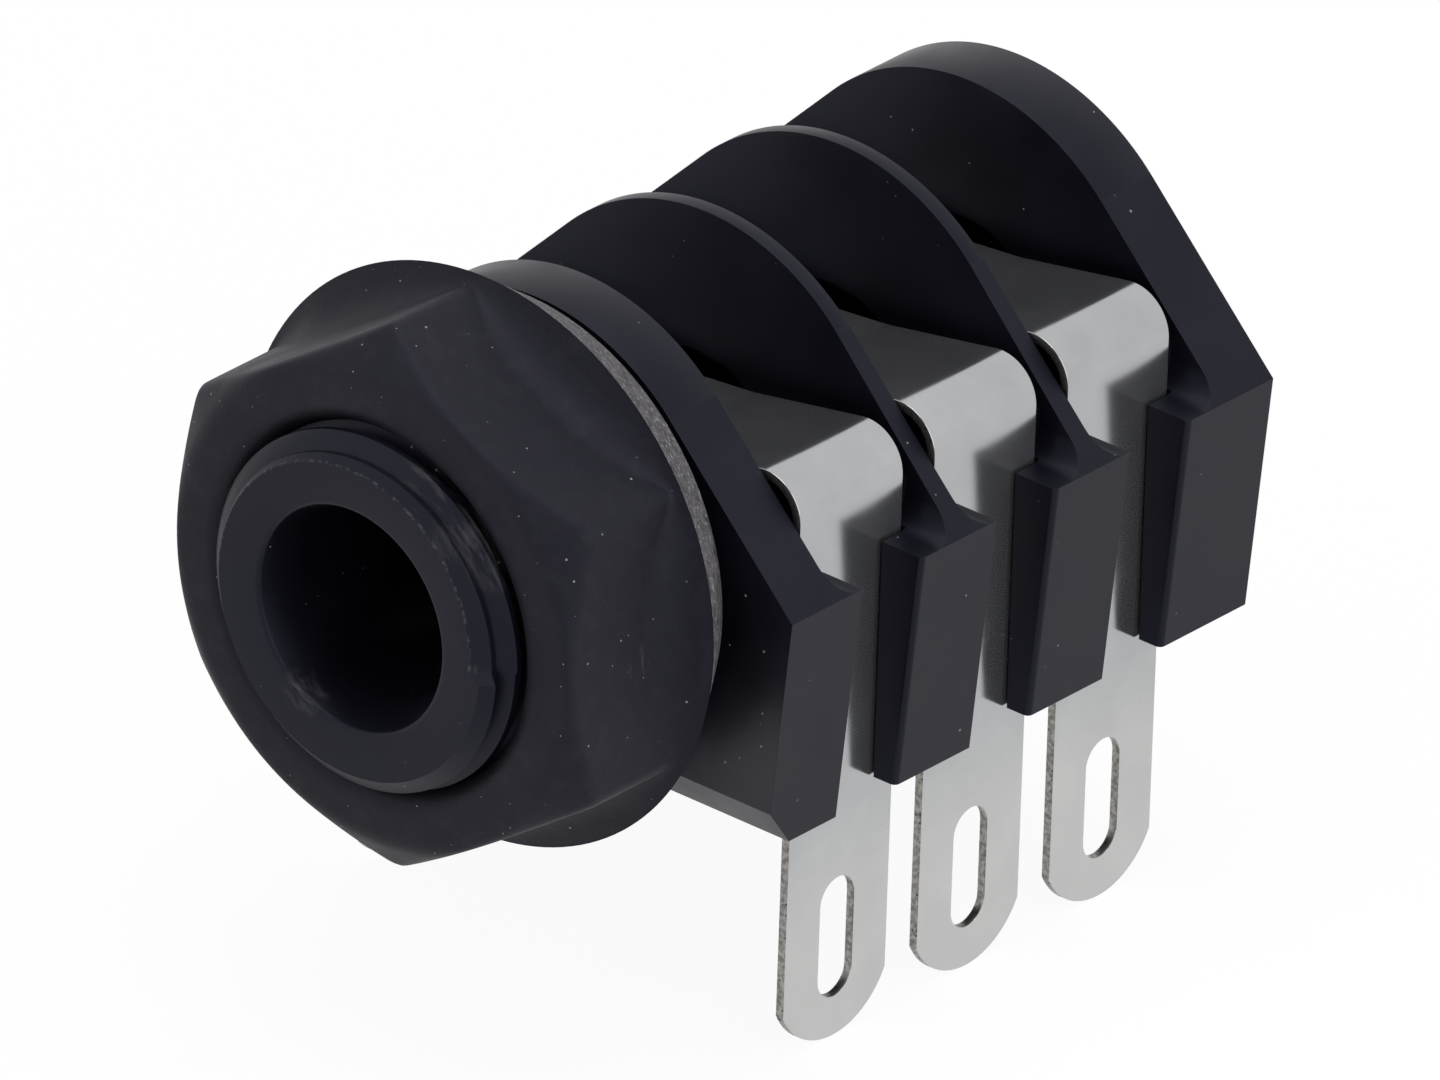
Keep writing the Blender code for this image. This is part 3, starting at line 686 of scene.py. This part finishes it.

# %% [markdown]
# ## The contact strips
# Each contact is one strip of plated metal, stamped flat and then bent. A Simple Deform modifier could
# bend a flat strip, but not with several bends of a set radius at set places. So the strip is drawn from
# the front as one line of straight runs and arcs, extruded across its width and given its thickness by a
# Solidify modifier. The tip's arc and the eye are cut afterwards, and every sheared edge gets a tiny
# rounding, which makes it glint. The right-hand strips are tag and spring arm in one piece, as the real
# ones are, with extra loops of edges round the clamp.

# %% Sizes of the strips
BEND_RADIUS = 1.31 * MM
CREASE_RADIUS = 0.8 * MM
TAG_CORNER_RISE = 1.52 * MM
EYE_WIDTH = 1.6 * MM
EYE_LENGTH = 4.18 * MM
EYE_TIP_DISTANCE = 1.4 * MM
SHEARED_EDGE = 0.035 * MM
SHEARED_EDGE_STEPS = 2
SHEARED_EDGE_ANGLE = math.radians(60)
BEND_STEPS_A_RADIAN = 14
BEND_STEPS_LEAST = 3
TIP_STEPS = 28
EYE_STEPS = 16
HINGE_Z = next(joint["pos_m"][2] for joint in frame["joints"] if joint["name"] == "sleeve_arm_flex")
BLEND_REACH = 0.45 * MM
CLAMP_LOOPS = 3
ARM_SHOULDER_Z = ARM_HIGH.z - STRIP_THICKNESS / 2
ARM_KNEE = Vector((2.9 * MM, 0, 2.96 * MM))
ARM_CONTACT = Vector((0, 0, 2.69 * MM))
ARM_REST = Vector((-4.3 * MM, 0, 3.5 * MM))
ARM_END = Vector((ARM_LOW.x, 0, ARM_REST.z))
BREAK_TOP = BREAK_HIGH.z - STRIP_THICKNESS / 2
print(f"arms' top line at {ARM_SHOULDER_Z / MM:.2f} mm, break contacts' at {BREAK_TOP / MM:.2f} mm")


# %% Bent, cut and rounded strips
def bent(corners, radii):
    """Moves that join the corners of a strip's middle line, with an arc at each inner corner."""
    moves = []
    for before, corner, after, radius in zip(corners, corners[1:], corners[2:], radii):
        into, out = (corner - before).normalized(), (after - corner).normalized()
        axis = into.cross(out).normalized()
        angle = into.angle(out)
        steps = max(BEND_STEPS_LEAST, round(BEND_STEPS_A_RADIAN * angle))
        start = corner - into * radius * math.tan(angle / 2)
        moves += [start, (start + axis.cross(into) * radius, axis, angle, steps)]
    return [*moves, corners[-1]]


def tip_cutter(pole_y, side):
    """Everything outside the arc at a tag's tip."""
    half = STRIP_WIDTH / 2
    radius = (half ** 2 + TAG_CORNER_RISE ** 2) / (2 * TAG_CORNER_RISE)
    spread = math.asin(half / radius)
    x, corner_z, low = side * STRIP_FACE_X - PAST, TAG_TIP_Z + TAG_CORNER_RISE, TAG_TIP_Z - PAST
    bm = bmesh.new()
    verts = draw(bm, Vector((x, pole_y - half - PAST, corner_z)), Vector((x, pole_y - half, corner_z)),
                 (Vector((x, pole_y, TAG_TIP_Z + radius)), ALONG_X, 2 * spread, TIP_STEPS),
                 Vector((x, pole_y + half + PAST, corner_z)), Vector((x, pole_y + half + PAST, low)),
                 Vector((x, pole_y - half - PAST, low)))
    push(bm, verts, (2 * PAST, 0, 0))
    return as_object("tip_cutter", bm)


def eye_cutter(pole_y, side):
    radius = EYE_WIDTH / 2
    low = TAG_TIP_Z + EYE_TIP_DISTANCE + radius
    high, x = low + EYE_LENGTH - EYE_WIDTH, side * STRIP_FACE_X - PAST
    bm = bmesh.new()
    verts = draw(bm, Vector((x, pole_y + radius, low)), Vector((x, pole_y + radius, high)),
                 (Vector((x, pole_y, high)), ALONG_X, math.pi, EYE_STEPS), Vector((x, pole_y - radius, low)),
                 (Vector((x, pole_y, low)), ALONG_X, math.pi, EYE_STEPS))
    bmesh.ops.remove_doubles(bm, verts=bm.verts, dist=MERGE_DISTANCE)
    push(bm, [vert for vert in verts if vert.is_valid], (2 * PAST, 0, 0))
    return as_object("eye_cutter", bm)


def strip_piece(name, corners, radii, pole_y, side, loops=()):
    """One strip. Extra loops of edges are cut where it has to bend smoothly."""
    bm = bmesh.new()
    start_y = pole_y - STRIP_WIDTH / 2
    shifted = [corner + Vector((0, start_y, 0)) for corner in corners]
    draw(bm, shifted[0], *bent(shifted, radii))
    for height in loops:
        bmesh.ops.bisect_plane(bm, geom=bm.verts[:] + bm.edges[:], plane_co=(0, 0, height),
                               plane_no=(0, 0, 1))
    swept = bmesh.ops.extrude_edge_only(bm, edges=bm.edges[:])["geom"]
    bmesh.ops.translate(bm, verts=verts_in(swept), vec=(0, STRIP_WIDTH, 0))
    strip = as_object(name, bm)
    sheet = strip.modifiers.new("thickness", "SOLIDIFY")
    sheet.thickness = STRIP_THICKNESS
    sheet.offset = 0
    sheet.use_even_offset = True
    combine(strip, [tip_cutter(pole_y, side), eye_cutter(pole_y, side)], "DIFFERENCE")
    round_edges(strip, SHEARED_EDGE, SHEARED_EDGE_STEPS, lambda edge, angle: angle > SHEARED_EDGE_ANGLE)
    shade(strip)
    count(strip)
    return strip


# %% Spring strips on the right, break contacts on the left
spring_strips, break_strips = [], []
clamp_loops = [HINGE_Z + BLEND_REACH * k / CLAMP_LOOPS for k in range(-CLAMP_LOOPS, CLAMP_LOOPS + 1)]
for pole, pole_y in zip(POLES, POLE_Y):
    corners = [Vector((STRIP_X, 0, TAG_TIP_Z)), Vector((STRIP_X, 0, ARM_SHOULDER_Z)), ARM_KNEE, ARM_CONTACT,
               Vector((-ARM_KNEE.x, 0, ARM_KNEE.z)), ARM_REST, ARM_END]
    spring_strips.append(strip_piece(f"{pole}_spring_strip", corners, [BEND_RADIUS] + [CREASE_RADIUS] * 4,
                                     pole_y, 1, clamp_loops))
    corners = [Vector((-STRIP_X, 0, TAG_TIP_Z)), Vector((-STRIP_X, 0, BREAK_TOP)),
               Vector((BREAK_HIGH.x, 0, BREAK_TOP))]
    break_strips.append(strip_piece(f"{pole}_break_strip", corners, [BEND_RADIUS], pole_y, -1))

# %% [markdown]
# ## Effects that the finishes share
# Real plastic and plating are never quite even. Painted textures could show that, but patterns made of
# noise need no picture and have no seams. Four small node groups are used by more than one finish: a fine
# grain for bump, sparse specks of dust, cloudy patches, and broken streaks round a point of the piece,
# which are rubbed wear and on the bushing partly a painted highlight. Each puts out one mask or height and
# takes its sizes as inputs, so each finish sets its own.


# %% Nodes in one line each
def feed(tree, socket, value):
    """Links a socket to an input, or sets the input to a number or a colour."""
    if isinstance(value, bpy.types.NodeSocket):
        tree.links.new(value, socket)
    else:
        socket.default_value = value


def add(tree, kind, **settings):
    """A node with its settings. An input goes by its name, or by i and its number, as in i0."""
    node = tree.nodes.new(kind)
    for key, value in settings.items():
        if hasattr(node, key) and key not in node.inputs:
            setattr(node, key, value)
    for key, value in settings.items():
        title = key.replace("_", " ")
        found = node.inputs.get(title) or (node.inputs[int(key[1:])] if key[1:].isdigit() else None)
        if found is not None:
            feed(tree, found, value)
    return node


def reckon(tree, operation, *values):
    """What a Math node makes of one or two values."""
    inputs = {f"i{k}": value for k, value in enumerate(values)}
    return add(tree, "ShaderNodeMath", operation=operation, **inputs).outputs[0]


def round_bore(tree, spot):
    """A place's parts along X, Y and Z, its angle round the bore and its distance from the bore's axis."""
    axes = add(tree, "ShaderNodeSeparateXYZ", Vector=spot).outputs
    angle = reckon(tree, "ARCTAN2", axes["Z"], axes["X"])
    flat = add(tree, "ShaderNodeCombineXYZ", X=axes["X"], Y=axes["Z"]).outputs[0]
    radius = add(tree, "ShaderNodeVectorMath", operation="LENGTH", i0=flat).outputs["Value"]
    return axes, angle, radius


# %% Node groups
DUST_SOFTNESS = 0.03
SCUFF_STRETCH = 1.2 * MM
SCUFF_CORE = 0.3
SCUFF_FULL = 0.72


def new_group(name, inputs, output):
    """An empty group, what goes into it and what comes out. A place on the piece is its first input."""
    group = bpy.data.node_groups.new(name, "ShaderNodeTree")
    group.interface.new_socket("Vector", in_out="INPUT", socket_type="NodeSocketVector")
    for title, value in inputs.items():
        kind = "NodeSocketVector" if isinstance(value, tuple) else "NodeSocketFloat"
        socket = group.interface.new_socket(title, in_out="INPUT", socket_type=kind)
        socket.default_value = value
    group.interface.new_socket(output, in_out="OUTPUT", socket_type="NodeSocketFloat")
    return group, group.nodes.new("NodeGroupInput").outputs, group.nodes.new("NodeGroupOutput").inputs


def make_grain():
    """Fine even roughness of a moulded face."""
    group, source, sink = new_group("grain", {"Scale": 9000.0}, "Height")
    noise = add(group, "ShaderNodeTexNoise", Vector=source["Vector"], Scale=source["Scale"], Detail=3.0,
                Roughness=0.6)
    group.links.new(noise.outputs["Fac"], sink["Height"])
    return group


def make_dust():
    """Sparse round specks: a few cells of a Voronoi pattern each get one dot of their own size."""
    group, source, sink = new_group("dust", {"Scale": 900.0, "Share": 0.3, "Size": 0.07}, "Mask")
    cells = add(group, "ShaderNodeTexVoronoi", Vector=source["Vector"], Scale=source["Scale"]).outputs
    channels = add(group, "ShaderNodeSeparateColor", Color=cells["Color"]).outputs
    chosen = reckon(group, "LESS_THAN", channels["Red"], source["Share"])
    size = reckon(group, "MULTIPLY", channels["Green"], source["Size"])
    inside = reckon(group, "SUBTRACT", size, cells["Distance"])
    soft = add(group, "ShaderNodeMapRange", Value=inside, From_Max=DUST_SOFTNESS).outputs["Result"]
    group.links.new(reckon(group, "MULTIPLY", soft, chosen), sink["Mask"])
    return group


def make_clouds():
    """Soft patches, from 0 to 1."""
    group, source, sink = new_group("clouds", {"Scale": 300.0, "Low": 0.4, "High": 0.6}, "Mask")
    noise = add(group, "ShaderNodeTexNoise", Vector=source["Vector"], Scale=source["Scale"], Detail=4.0,
                Roughness=0.55).outputs["Fac"]
    spread = add(group, "ShaderNodeMapRange", Value=noise, From_Min=source["Low"], From_Max=source["High"])
    group.links.new(spread.outputs["Result"], sink["Mask"])
    return group


def make_scuff_and_highlight():
    """Broken streaks round the bore that fade out from a centre: rubbed wear, and on the bushing partly a
    painted highlight.
    """
    inputs = {"Radius": 0.001, "Scale": 4000.0, "Cut": 0.5, "Centre": (0.0, 0.0, 0.0)}
    group, source, sink = new_group("scuff_and_highlight", inputs, "Mask")
    away = add(group, "ShaderNodeVectorMath", operation="DISTANCE", i0=source["Vector"], i1=source["Centre"])
    share = reckon(group, "DIVIDE", away.outputs["Value"], source["Radius"])
    near = add(group, "ShaderNodeMapRange", Value=share, From_Min=1.0, From_Max=SCUFF_CORE)
    axes, angle, radius = round_bore(group, source["Vector"])
    streak = reckon(group, "MULTIPLY", angle, SCUFF_STRETCH)
    round_spot = add(group, "ShaderNodeCombineXYZ", X=radius, Y=axes["Y"], Z=streak).outputs[0]
    noise = add(group, "ShaderNodeTexNoise", Vector=round_spot, Scale=source["Scale"], Detail=4.0,
                Roughness=0.6).outputs["Fac"]
    broken = add(group, "ShaderNodeMapRange", Value=noise, From_Min=source["Cut"], From_Max=SCUFF_FULL)
    mask = reckon(group, "MULTIPLY", near.outputs["Result"], broken.outputs["Result"])
    group.links.new(mask, sink["Mask"])
    return group


GRAIN, DUST, CLOUDS, SCUFF_AND_HIGHLIGHT = make_grain(), make_dust(), make_clouds(), make_scuff_and_highlight()
print("groups:", GRAIN.name, DUST.name, CLOUDS.name, SCUFF_AND_HIGHLIGHT.name)


# %% Placing a group and mixing by a mask
def place(tree, group, output, spot, **values):
    """What a group puts out for a place on the piece, with this finish's own values."""
    node = tree.nodes.new("ShaderNodeGroup")
    node.node_tree = group
    tree.links.new(spot, node.inputs["Vector"])
    for title, value in values.items():
        node.inputs[title].default_value = value
    return node.outputs[output]


def mix_colour(tree, mask, low, high):
    """A colour from low to high with the mask. A Mix node's two colours are its inputs 6 and 7."""
    node = add(tree, "ShaderNodeMix", data_type="RGBA")
    feed(tree, node.inputs[0], mask)
    for socket, colour in ((node.inputs[6], low), (node.inputs[7], high)):
        feed(tree, socket, (*colour, 1) if isinstance(colour, tuple) else colour)
    return node.outputs[2]


def mix_value(tree, mask, low, high):
    """A number from low to high with the mask. A Mix node's two numbers are its inputs 2 and 3."""
    return add(tree, "ShaderNodeMix", i0=mask, i2=low, i3=high).outputs[0]


def new_finish(name):
    material = bpy.data.materials.new(name)
    material.use_nodes = True
    tree = material.node_tree
    place_in_piece = tree.nodes.new("ShaderNodeTexCoord").outputs["Object"]
    return material, tree, tree.nodes["Principled BSDF"], place_in_piece


def bump(tree, shader, height, strength, distance):
    node = add(tree, "ShaderNodeBump", Height=height, Strength=strength, Distance=distance)
    tree.links.new(node.outputs["Normal"], shader.inputs["Normal"])


# %% [markdown]
# ## The finishes
# The body is a satin black plastic with a slightly blue cast. The nut's plastic is duller and carries
# more specks. The strips are plated: almost a mirror on the arms and bends, satin on the tags, and grey
# and pitted where the sheet was sheared. One material could serve all the plastic, but body and nut
# differ in gloss and wear, so each finish starts from a Principled shader of its own and lays masks over
# its colour and roughness.

# %% Body plastic
PLASTIC_GLOSS = 0.2
DUST_ROUGHNESS = 0.8
BODY_DARK = (0.0045, 0.0046, 0.0085)
BODY_LIGHT = (0.0065, 0.0066, 0.012)
# Light grey of the bushing's rubbed streaks: partly wear, partly a painted highlight on the thread's crest
# and the bore's lip
BODY_WORN_AND_HIGHLIGHT = (0.075, 0.075, 0.08)
BODY_SEAM = (0.075, 0.075, 0.085)
BODY_DUST = (0.3, 0.3, 0.31)
BODY_TINT = (0.75, 0.78, 1.0, 1.0)
SEAM_FADE = 0.06 * MM
SEAM_LINE = 0.02 * MM

# Each rubbed streak on the bushing, partly wear and partly a painted highlight on the thread's crest and the
# bore's lip:
# its centre in mm, its radius in mm and the level of the noise at which it starts
THREAD_SCUFFS_AND_HIGHLIGHTS = (((4.2, -7.3, 4.1), 1.7, 0.46), ((2.6, -7.3, 5.2), 1.5, 0.5), ((5.0, -7.4, 3.0), 0.7, 0.42),
                 ((-1.9, -8.3, -3.3), 0.9, 0.46), ((5.0, -8.4, 0.1), 0.22, 0.4))


def scuffs_and_highlights(tree, spot, places, scale):
    """The strongest of several rubbed streaks, which on the bushing partly paint a highlight."""
    total = None
    for centre, radius, cut in places:
        mask = place(tree, SCUFF_AND_HIGHLIGHT, "Mask", spot, Centre=[value * MM for value in centre], Radius=radius * MM,
                     Scale=scale, Cut=cut)
        total = mask if total is None else reckon(tree, "MAXIMUM", total, mask)
    return total


def mould_seam(tree, spot):
    """A fine broken line along the upper edge of the bushing's face."""
    axes, angle, radius = round_bore(tree, spot)
    edge = add(tree, "ShaderNodeMapRange", clamp=False, Value=angle, From_Max=math.pi, To_Min=FACE_RADIUS,
               To_Max=FACE_RADIUS_LEFT).outputs["Result"]
    away = reckon(tree, "ABSOLUTE", reckon(tree, "SUBTRACT", radius, edge))
    line = add(tree, "ShaderNodeMapRange", Value=away, From_Min=SEAM_FADE,
               From_Max=SEAM_LINE).outputs["Result"]
    above = reckon(tree, "GREATER_THAN", axes["Z"], 0.0)
    in_front = reckon(tree, "LESS_THAN", axes["Y"], MOUTH_Y + MOUTH_LIP)
    local = reckon(tree, "MULTIPLY", reckon(tree, "MULTIPLY", line, above), in_front)
    broken = place(tree, CLOUDS, "Mask", spot, Scale=6500.0, Low=0.48, High=0.66)
    return reckon(tree, "MULTIPLY", local, broken)


def moulded(tree, shader, clouds, dust, satin, dull, tint):
    """What both plastics share: a roughness that goes with clouds and dust, and a weak tinted gloss."""
    rough = mix_value(tree, clouds, satin, dull)
    tree.links.new(mix_value(tree, dust, rough, DUST_ROUGHNESS), shader.inputs["Roughness"])
    shader.inputs["Specular IOR Level"].default_value = PLASTIC_GLOSS
    shader.inputs["Specular Tint"].default_value = tint


def body_finish():
    material, tree, shader, spot = new_finish("body_plastic")
    clouds = place(tree, CLOUDS, "Mask", spot, Scale=260.0, Low=0.35, High=0.65)
    dust = place(tree, DUST, "Mask", spot, Scale=2200.0, Share=0.35, Size=0.11)
    # Rubbed streaks on the bushing, lightened: partly wear, partly a painted highlight on the crest and the
    # bore's lip
    streak_mask = scuffs_and_highlights(tree, spot, THREAD_SCUFFS_AND_HIGHLIGHTS, scale=3500.0)
    seam = mould_seam(tree, spot)
    colour = mix_colour(tree, clouds, BODY_DARK, BODY_LIGHT)
    colour = mix_colour(tree, streak_mask, colour, BODY_WORN_AND_HIGHLIGHT)
    colour = mix_colour(tree, seam, colour, BODY_SEAM)
    tree.links.new(mix_colour(tree, dust, colour, BODY_DUST), shader.inputs["Base Color"])
    moulded(tree, shader, clouds, dust, satin=0.34, dull=0.44, tint=BODY_TINT)
    grain = place(tree, GRAIN, "Height", spot, Scale=7000.0)
    bump(tree, shader, grain, strength=0.1, distance=0.01 * MM)
    return material


# %% Nut plastic and the rough back of its flange
NUT_DARK = (0.0075, 0.0072, 0.0115)
NUT_LIGHT = (0.0105, 0.0102, 0.0155)
NUT_MOTTLE = (0.014, 0.014, 0.019)
NUT_WORN = (0.1, 0.1, 0.11)
NUT_DUST = (0.35, 0.35, 0.36)
NUT_TINT = (0.8, 0.8, 1.0, 1.0)
NUT_SCUFFS = (((8.3, -4.0, -0.2), 0.8, 0.52), ((8.4, -5.6, 2.6), 0.8, 0.58))
# The taper's grey is partly torn plastic and partly a painted sheen, its grazing reflection of the pale
# surroundings
TORN_AND_SHEEN_DARK = (0.045, 0.042, 0.048)
TORN_AND_SHEEN_LIGHT = (0.14, 0.132, 0.142)
CRUMBS = (0.36, 0.35, 0.36)


def nut_finish():
    material, tree, shader, spot = new_finish("nut_plastic")
    clouds = place(tree, CLOUDS, "Mask", spot, Scale=320.0, Low=0.35, High=0.65)
    mottle = place(tree, CLOUDS, "Mask", spot, Scale=1500.0, Low=0.5, High=0.75)
    dust = place(tree, DUST, "Mask", spot, Scale=2600.0, Share=0.6, Size=0.12)
    streak_mask = scuffs_and_highlights(tree, spot, NUT_SCUFFS, scale=3600.0)
    colour = mix_colour(tree, clouds, NUT_DARK, NUT_LIGHT)
    colour = mix_colour(tree, mottle, colour, NUT_MOTTLE)
    colour = mix_colour(tree, streak_mask, colour, NUT_WORN)
    tree.links.new(mix_colour(tree, dust, colour, NUT_DUST), shader.inputs["Base Color"])
    moulded(tree, shader, clouds, dust, satin=0.5, dull=0.62, tint=NUT_TINT)
    grain = place(tree, GRAIN, "Height", spot, Scale=9000.0)
    bump(tree, shader, grain, strength=0.5, distance=0.03 * MM)
    return material


def flange_back_finish():
    """Torn and greyish, with light crumbs: the taper behind the flange's rim. Its grey is partly a painted
    grazing sheen.
    """
    material, tree, shader, spot = new_finish("flange_back")
    torn = place(tree, CLOUDS, "Mask", spot, Scale=2200.0, Low=0.35, High=0.65)
    crumbs = place(tree, CLOUDS, "Mask", spot, Scale=6500.0, Low=0.56, High=0.68)
    colour = mix_colour(tree, torn, TORN_AND_SHEEN_DARK, TORN_AND_SHEEN_LIGHT)
    tree.links.new(mix_colour(tree, crumbs, colour, CRUMBS), shader.inputs["Base Color"])
    tree.links.new(mix_value(tree, torn, 0.6, 0.85), shader.inputs["Roughness"])
    shader.inputs["Specular IOR Level"].default_value = 0.3
    bump(tree, shader, torn, strength=0.6, distance=0.05 * MM)
    return material


# %% Plated strip and its sheared edges
SATIN_START_Z = BASE_Z - 0.5 * MM
SATIN_END_Z = BASE_Z - 3.5 * MM
ARM_DARK = (0.41, 0.42, 0.425)
ARM_LIGHT = (0.46, 0.468, 0.475)
TAG_DARK = (0.5, 0.5, 0.498)
TAG_LIGHT = (0.55, 0.55, 0.545)
STRIP_SPECKS = (0.3, 0.3, 0.29)
SHEARED_DARK = (0.17, 0.16, 0.15)
SHEARED_LIGHT = (0.34, 0.33, 0.315)
PITS = (0.06, 0.055, 0.05)


def strip_finish():
    """Nearly a mirror on the arm, and satin from a little below the body down to the tag's tip."""
    material, tree, shader, spot = new_finish("plated_strip")
    height = add(tree, "ShaderNodeSeparateXYZ", Vector=spot).outputs["Z"]
    satin = add(tree, "ShaderNodeMapRange", Value=height, From_Min=SATIN_START_Z,
                From_Max=SATIN_END_Z).outputs["Result"]
    clouds = place(tree, CLOUDS, "Mask", spot, Scale=420.0, Low=0.3, High=0.7)
    specks = place(tree, DUST, "Mask", spot, Scale=2400.0, Share=0.3, Size=0.1)
    arm = mix_colour(tree, clouds, ARM_DARK, ARM_LIGHT)
    tag = mix_colour(tree, clouds, TAG_DARK, TAG_LIGHT)
    colour = mix_colour(tree, satin, arm, tag)
    tree.links.new(mix_colour(tree, specks, colour, STRIP_SPECKS), shader.inputs["Base Color"])
    polished = mix_value(tree, clouds, 0.13, 0.18)
    dulled = mix_value(tree, clouds, 0.3, 0.42)
    tree.links.new(mix_value(tree, satin, polished, dulled), shader.inputs["Roughness"])
    shader.inputs["Metallic"].default_value = 0.9
    return material


def sheared_finish():
    """Grey and pitted, as the shears left it."""
    material, tree, shader, spot = new_finish("sheared_edge")
    clouds = place(tree, CLOUDS, "Mask", spot, Scale=6000.0, Low=0.38, High=0.64)
    pits = place(tree, DUST, "Mask", spot, Scale=5500.0, Share=0.35, Size=0.4)
    colour = mix_colour(tree, clouds, SHEARED_DARK, SHEARED_LIGHT)
    tree.links.new(mix_colour(tree, pits, colour, PITS), shader.inputs["Base Color"])
    tree.links.new(mix_value(tree, clouds, 0.5, 0.3), shader.inputs["Roughness"])
    shader.inputs["Metallic"].default_value = 1.0
    bump(tree, shader, clouds, strength=0.2, distance=0.01 * MM)
    return material


# %% [markdown]
# ## Who moves with what
# Each finished piece takes the place of the imported pieces that it covers. The body and the break contacts
# ride on the housing, and the nut on a body of its own. A right-hand strip covers a tag, which belongs to
# the housing, and an arm, which belongs to the arm's own body. It could be cut in two at the clamp, but the
# cut would show when the arm lifts. So it stays one piece, set in place and attached to no body. The real
# strip flexes round the clamp.

# %% Put on the finishes and hand the body, the nut and the break contacts to their bodies
CUT_ZONE_PAST_EYE = 0.5 * MM
CUT_ZONE_TOP = TAG_TIP_Z + EYE_TIP_DISTANCE + EYE_LENGTH + CUT_ZONE_PAST_EYE

# Limits on a part of a face's normal, for a face that stands across a direction or looks towards it
ACROSS = 0.3
TOWARDS = 0.9
PLATED, SHEARED = strip_finish(), sheared_finish()


def dress_strip(strip):
    """The flat sides are plated, and the strip's edges and the eye's walls are sheared metal."""
    strip.data.materials.clear()
    strip.data.materials.append(PLATED)
    strip.data.materials.append(SHEARED)
    for polygon in strip.data.polygons:
        in_cut_zone = polygon.center.z < CUT_ZONE_TOP and abs(polygon.normal.x) < ACROSS
        polygon.material_index = int(abs(polygon.normal.y) > TOWARDS or in_cut_zone)


body.data.materials.clear()
body.data.materials.append(body_finish())
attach(body, "housing")
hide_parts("body")

nut.data.materials.clear()
nut.data.materials.append(nut_finish())
nut.data.materials.append(flange_back_finish())
for polygon in nut.data.polygons:
    outside = math.hypot(polygon.center.x, polygon.center.z) > NUT_APOTHEM
    polygon.material_index = int(outside and polygon.center.y > NUT_RIM_Y and polygon.normal.y > ACROSS)
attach(nut, "nut")
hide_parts("panel_nut")

for pole, pole_y, spring, contact in zip(POLES, POLE_Y, spring_strips, break_strips):
    dress_strip(spring)
    dress_strip(contact)
    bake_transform(spring)
    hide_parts(f"{pole}_tag", f"{pole}_spring_arm")
    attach(contact, "housing")
    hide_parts(f"{pole}_break_contact")
print("pieces:", body.name, nut.name, *[strip.name for strip in spring_strips + break_strips])

# %% [markdown]
# ## Floor, light and background
# The floor is a big pale sheet under the tags' tips. Stronger lamps could turn it white, but they would
# wash out the socket too. So it glows a little to the camera and in reflections only, and the rest of it
# still takes the light, which keeps a soft shadow. The world is white in the same way and dimmer as a
# light. Three large soft lamps do the rest, and the strongest stands on the right.

# %% Floor
FLOOR_SIZE = 6.0
FLOOR_GLOW = 0.9
GLOW_STRENGTH = 1.04


def seen_directly(tree):
    """1 for camera, glossy and transmission rays."""
    path = tree.nodes.new("ShaderNodeLightPath").outputs
    seen = reckon(tree, "MAXIMUM", path["Is Camera Ray"], path["Is Glossy Ray"])
    return reckon(tree, "MAXIMUM", seen, path["Is Transmission Ray"])


def floor_finish():
    material = bpy.data.materials.new("floor")
    material.use_nodes = True
    tree = material.node_tree
    shader = tree.nodes["Principled BSDF"]
    shader.inputs["Base Color"].default_value = (0.85, 0.85, 0.85, 1)
    shader.inputs["Roughness"].default_value = 0.9
    glow = add(tree, "ShaderNodeEmission", Strength=GLOW_STRENGTH)
    share = reckon(tree, "MULTIPLY", seen_directly(tree), FLOOR_GLOW)
    blend = add(tree, "ShaderNodeMixShader", i0=share, i1=shader.outputs[0], i2=glow.outputs[0])
    tree.links.new(blend.outputs[0], tree.nodes["Material Output"].inputs["Surface"])
    return material


bm = bmesh.new()
bmesh.ops.create_grid(bm, x_segments=1, y_segments=1, size=FLOOR_SIZE / 2)
bmesh.ops.translate(bm, verts=bm.verts, vec=(0, 0, TAG_TIP_Z))
floor = as_object("floor", bm)
floor.data.materials.append(floor_finish())

# %% World and lamps
AMBIENT = 0.25
MIDDLE = Vector((0, (MOUTH_Y + REAR_Y) / 2, (TAG_TIP_Z + PLATE_TOP_Z) / 2))

# Each lamp: where it stands from the socket's middle, in metres, its size in metres and its power in watts
LAMPS = {"right": ((0.42, -0.05, 0.12), 0.6, 1.3), "top": ((0.0, 0.0, 0.5), 0.35, 1.0),
         "front": ((-0.2, -0.45, 0.2), 0.5, 0.35)}

world = bpy.data.worlds.new("studio")
bpy.context.scene.world = world
world.use_nodes = True
tree = world.node_tree
surround = tree.nodes["Background"]
surround.inputs["Color"].default_value = (1, 1, 1, 1)
strength = add(tree, "ShaderNodeMapRange", Value=seen_directly(tree), To_Min=AMBIENT, To_Max=1.0)
tree.links.new(strength.outputs["Result"], surround.inputs["Strength"])

for name, (offset, width, power) in LAMPS.items():
    lamp = bpy.data.objects.new(f"lamp_{name}", bpy.data.lights.new(f"lamp_{name}", "AREA"))
    bpy.context.scene.collection.objects.link(lamp)
    lamp.data.size = width
    lamp.data.energy = power
    lamp.location = MIDDLE + Vector(offset)
    lamp.rotation_mode = "QUATERNION"
    lamp.rotation_quaternion = (-Vector(offset)).to_track_quat("-Z", "Y")
bpy.context.scene.view_settings.view_transform = "Standard"
print(f"{len(LAMPS)} lamps round {[round(value / MM, 1) for value in MIDDLE]} mm")
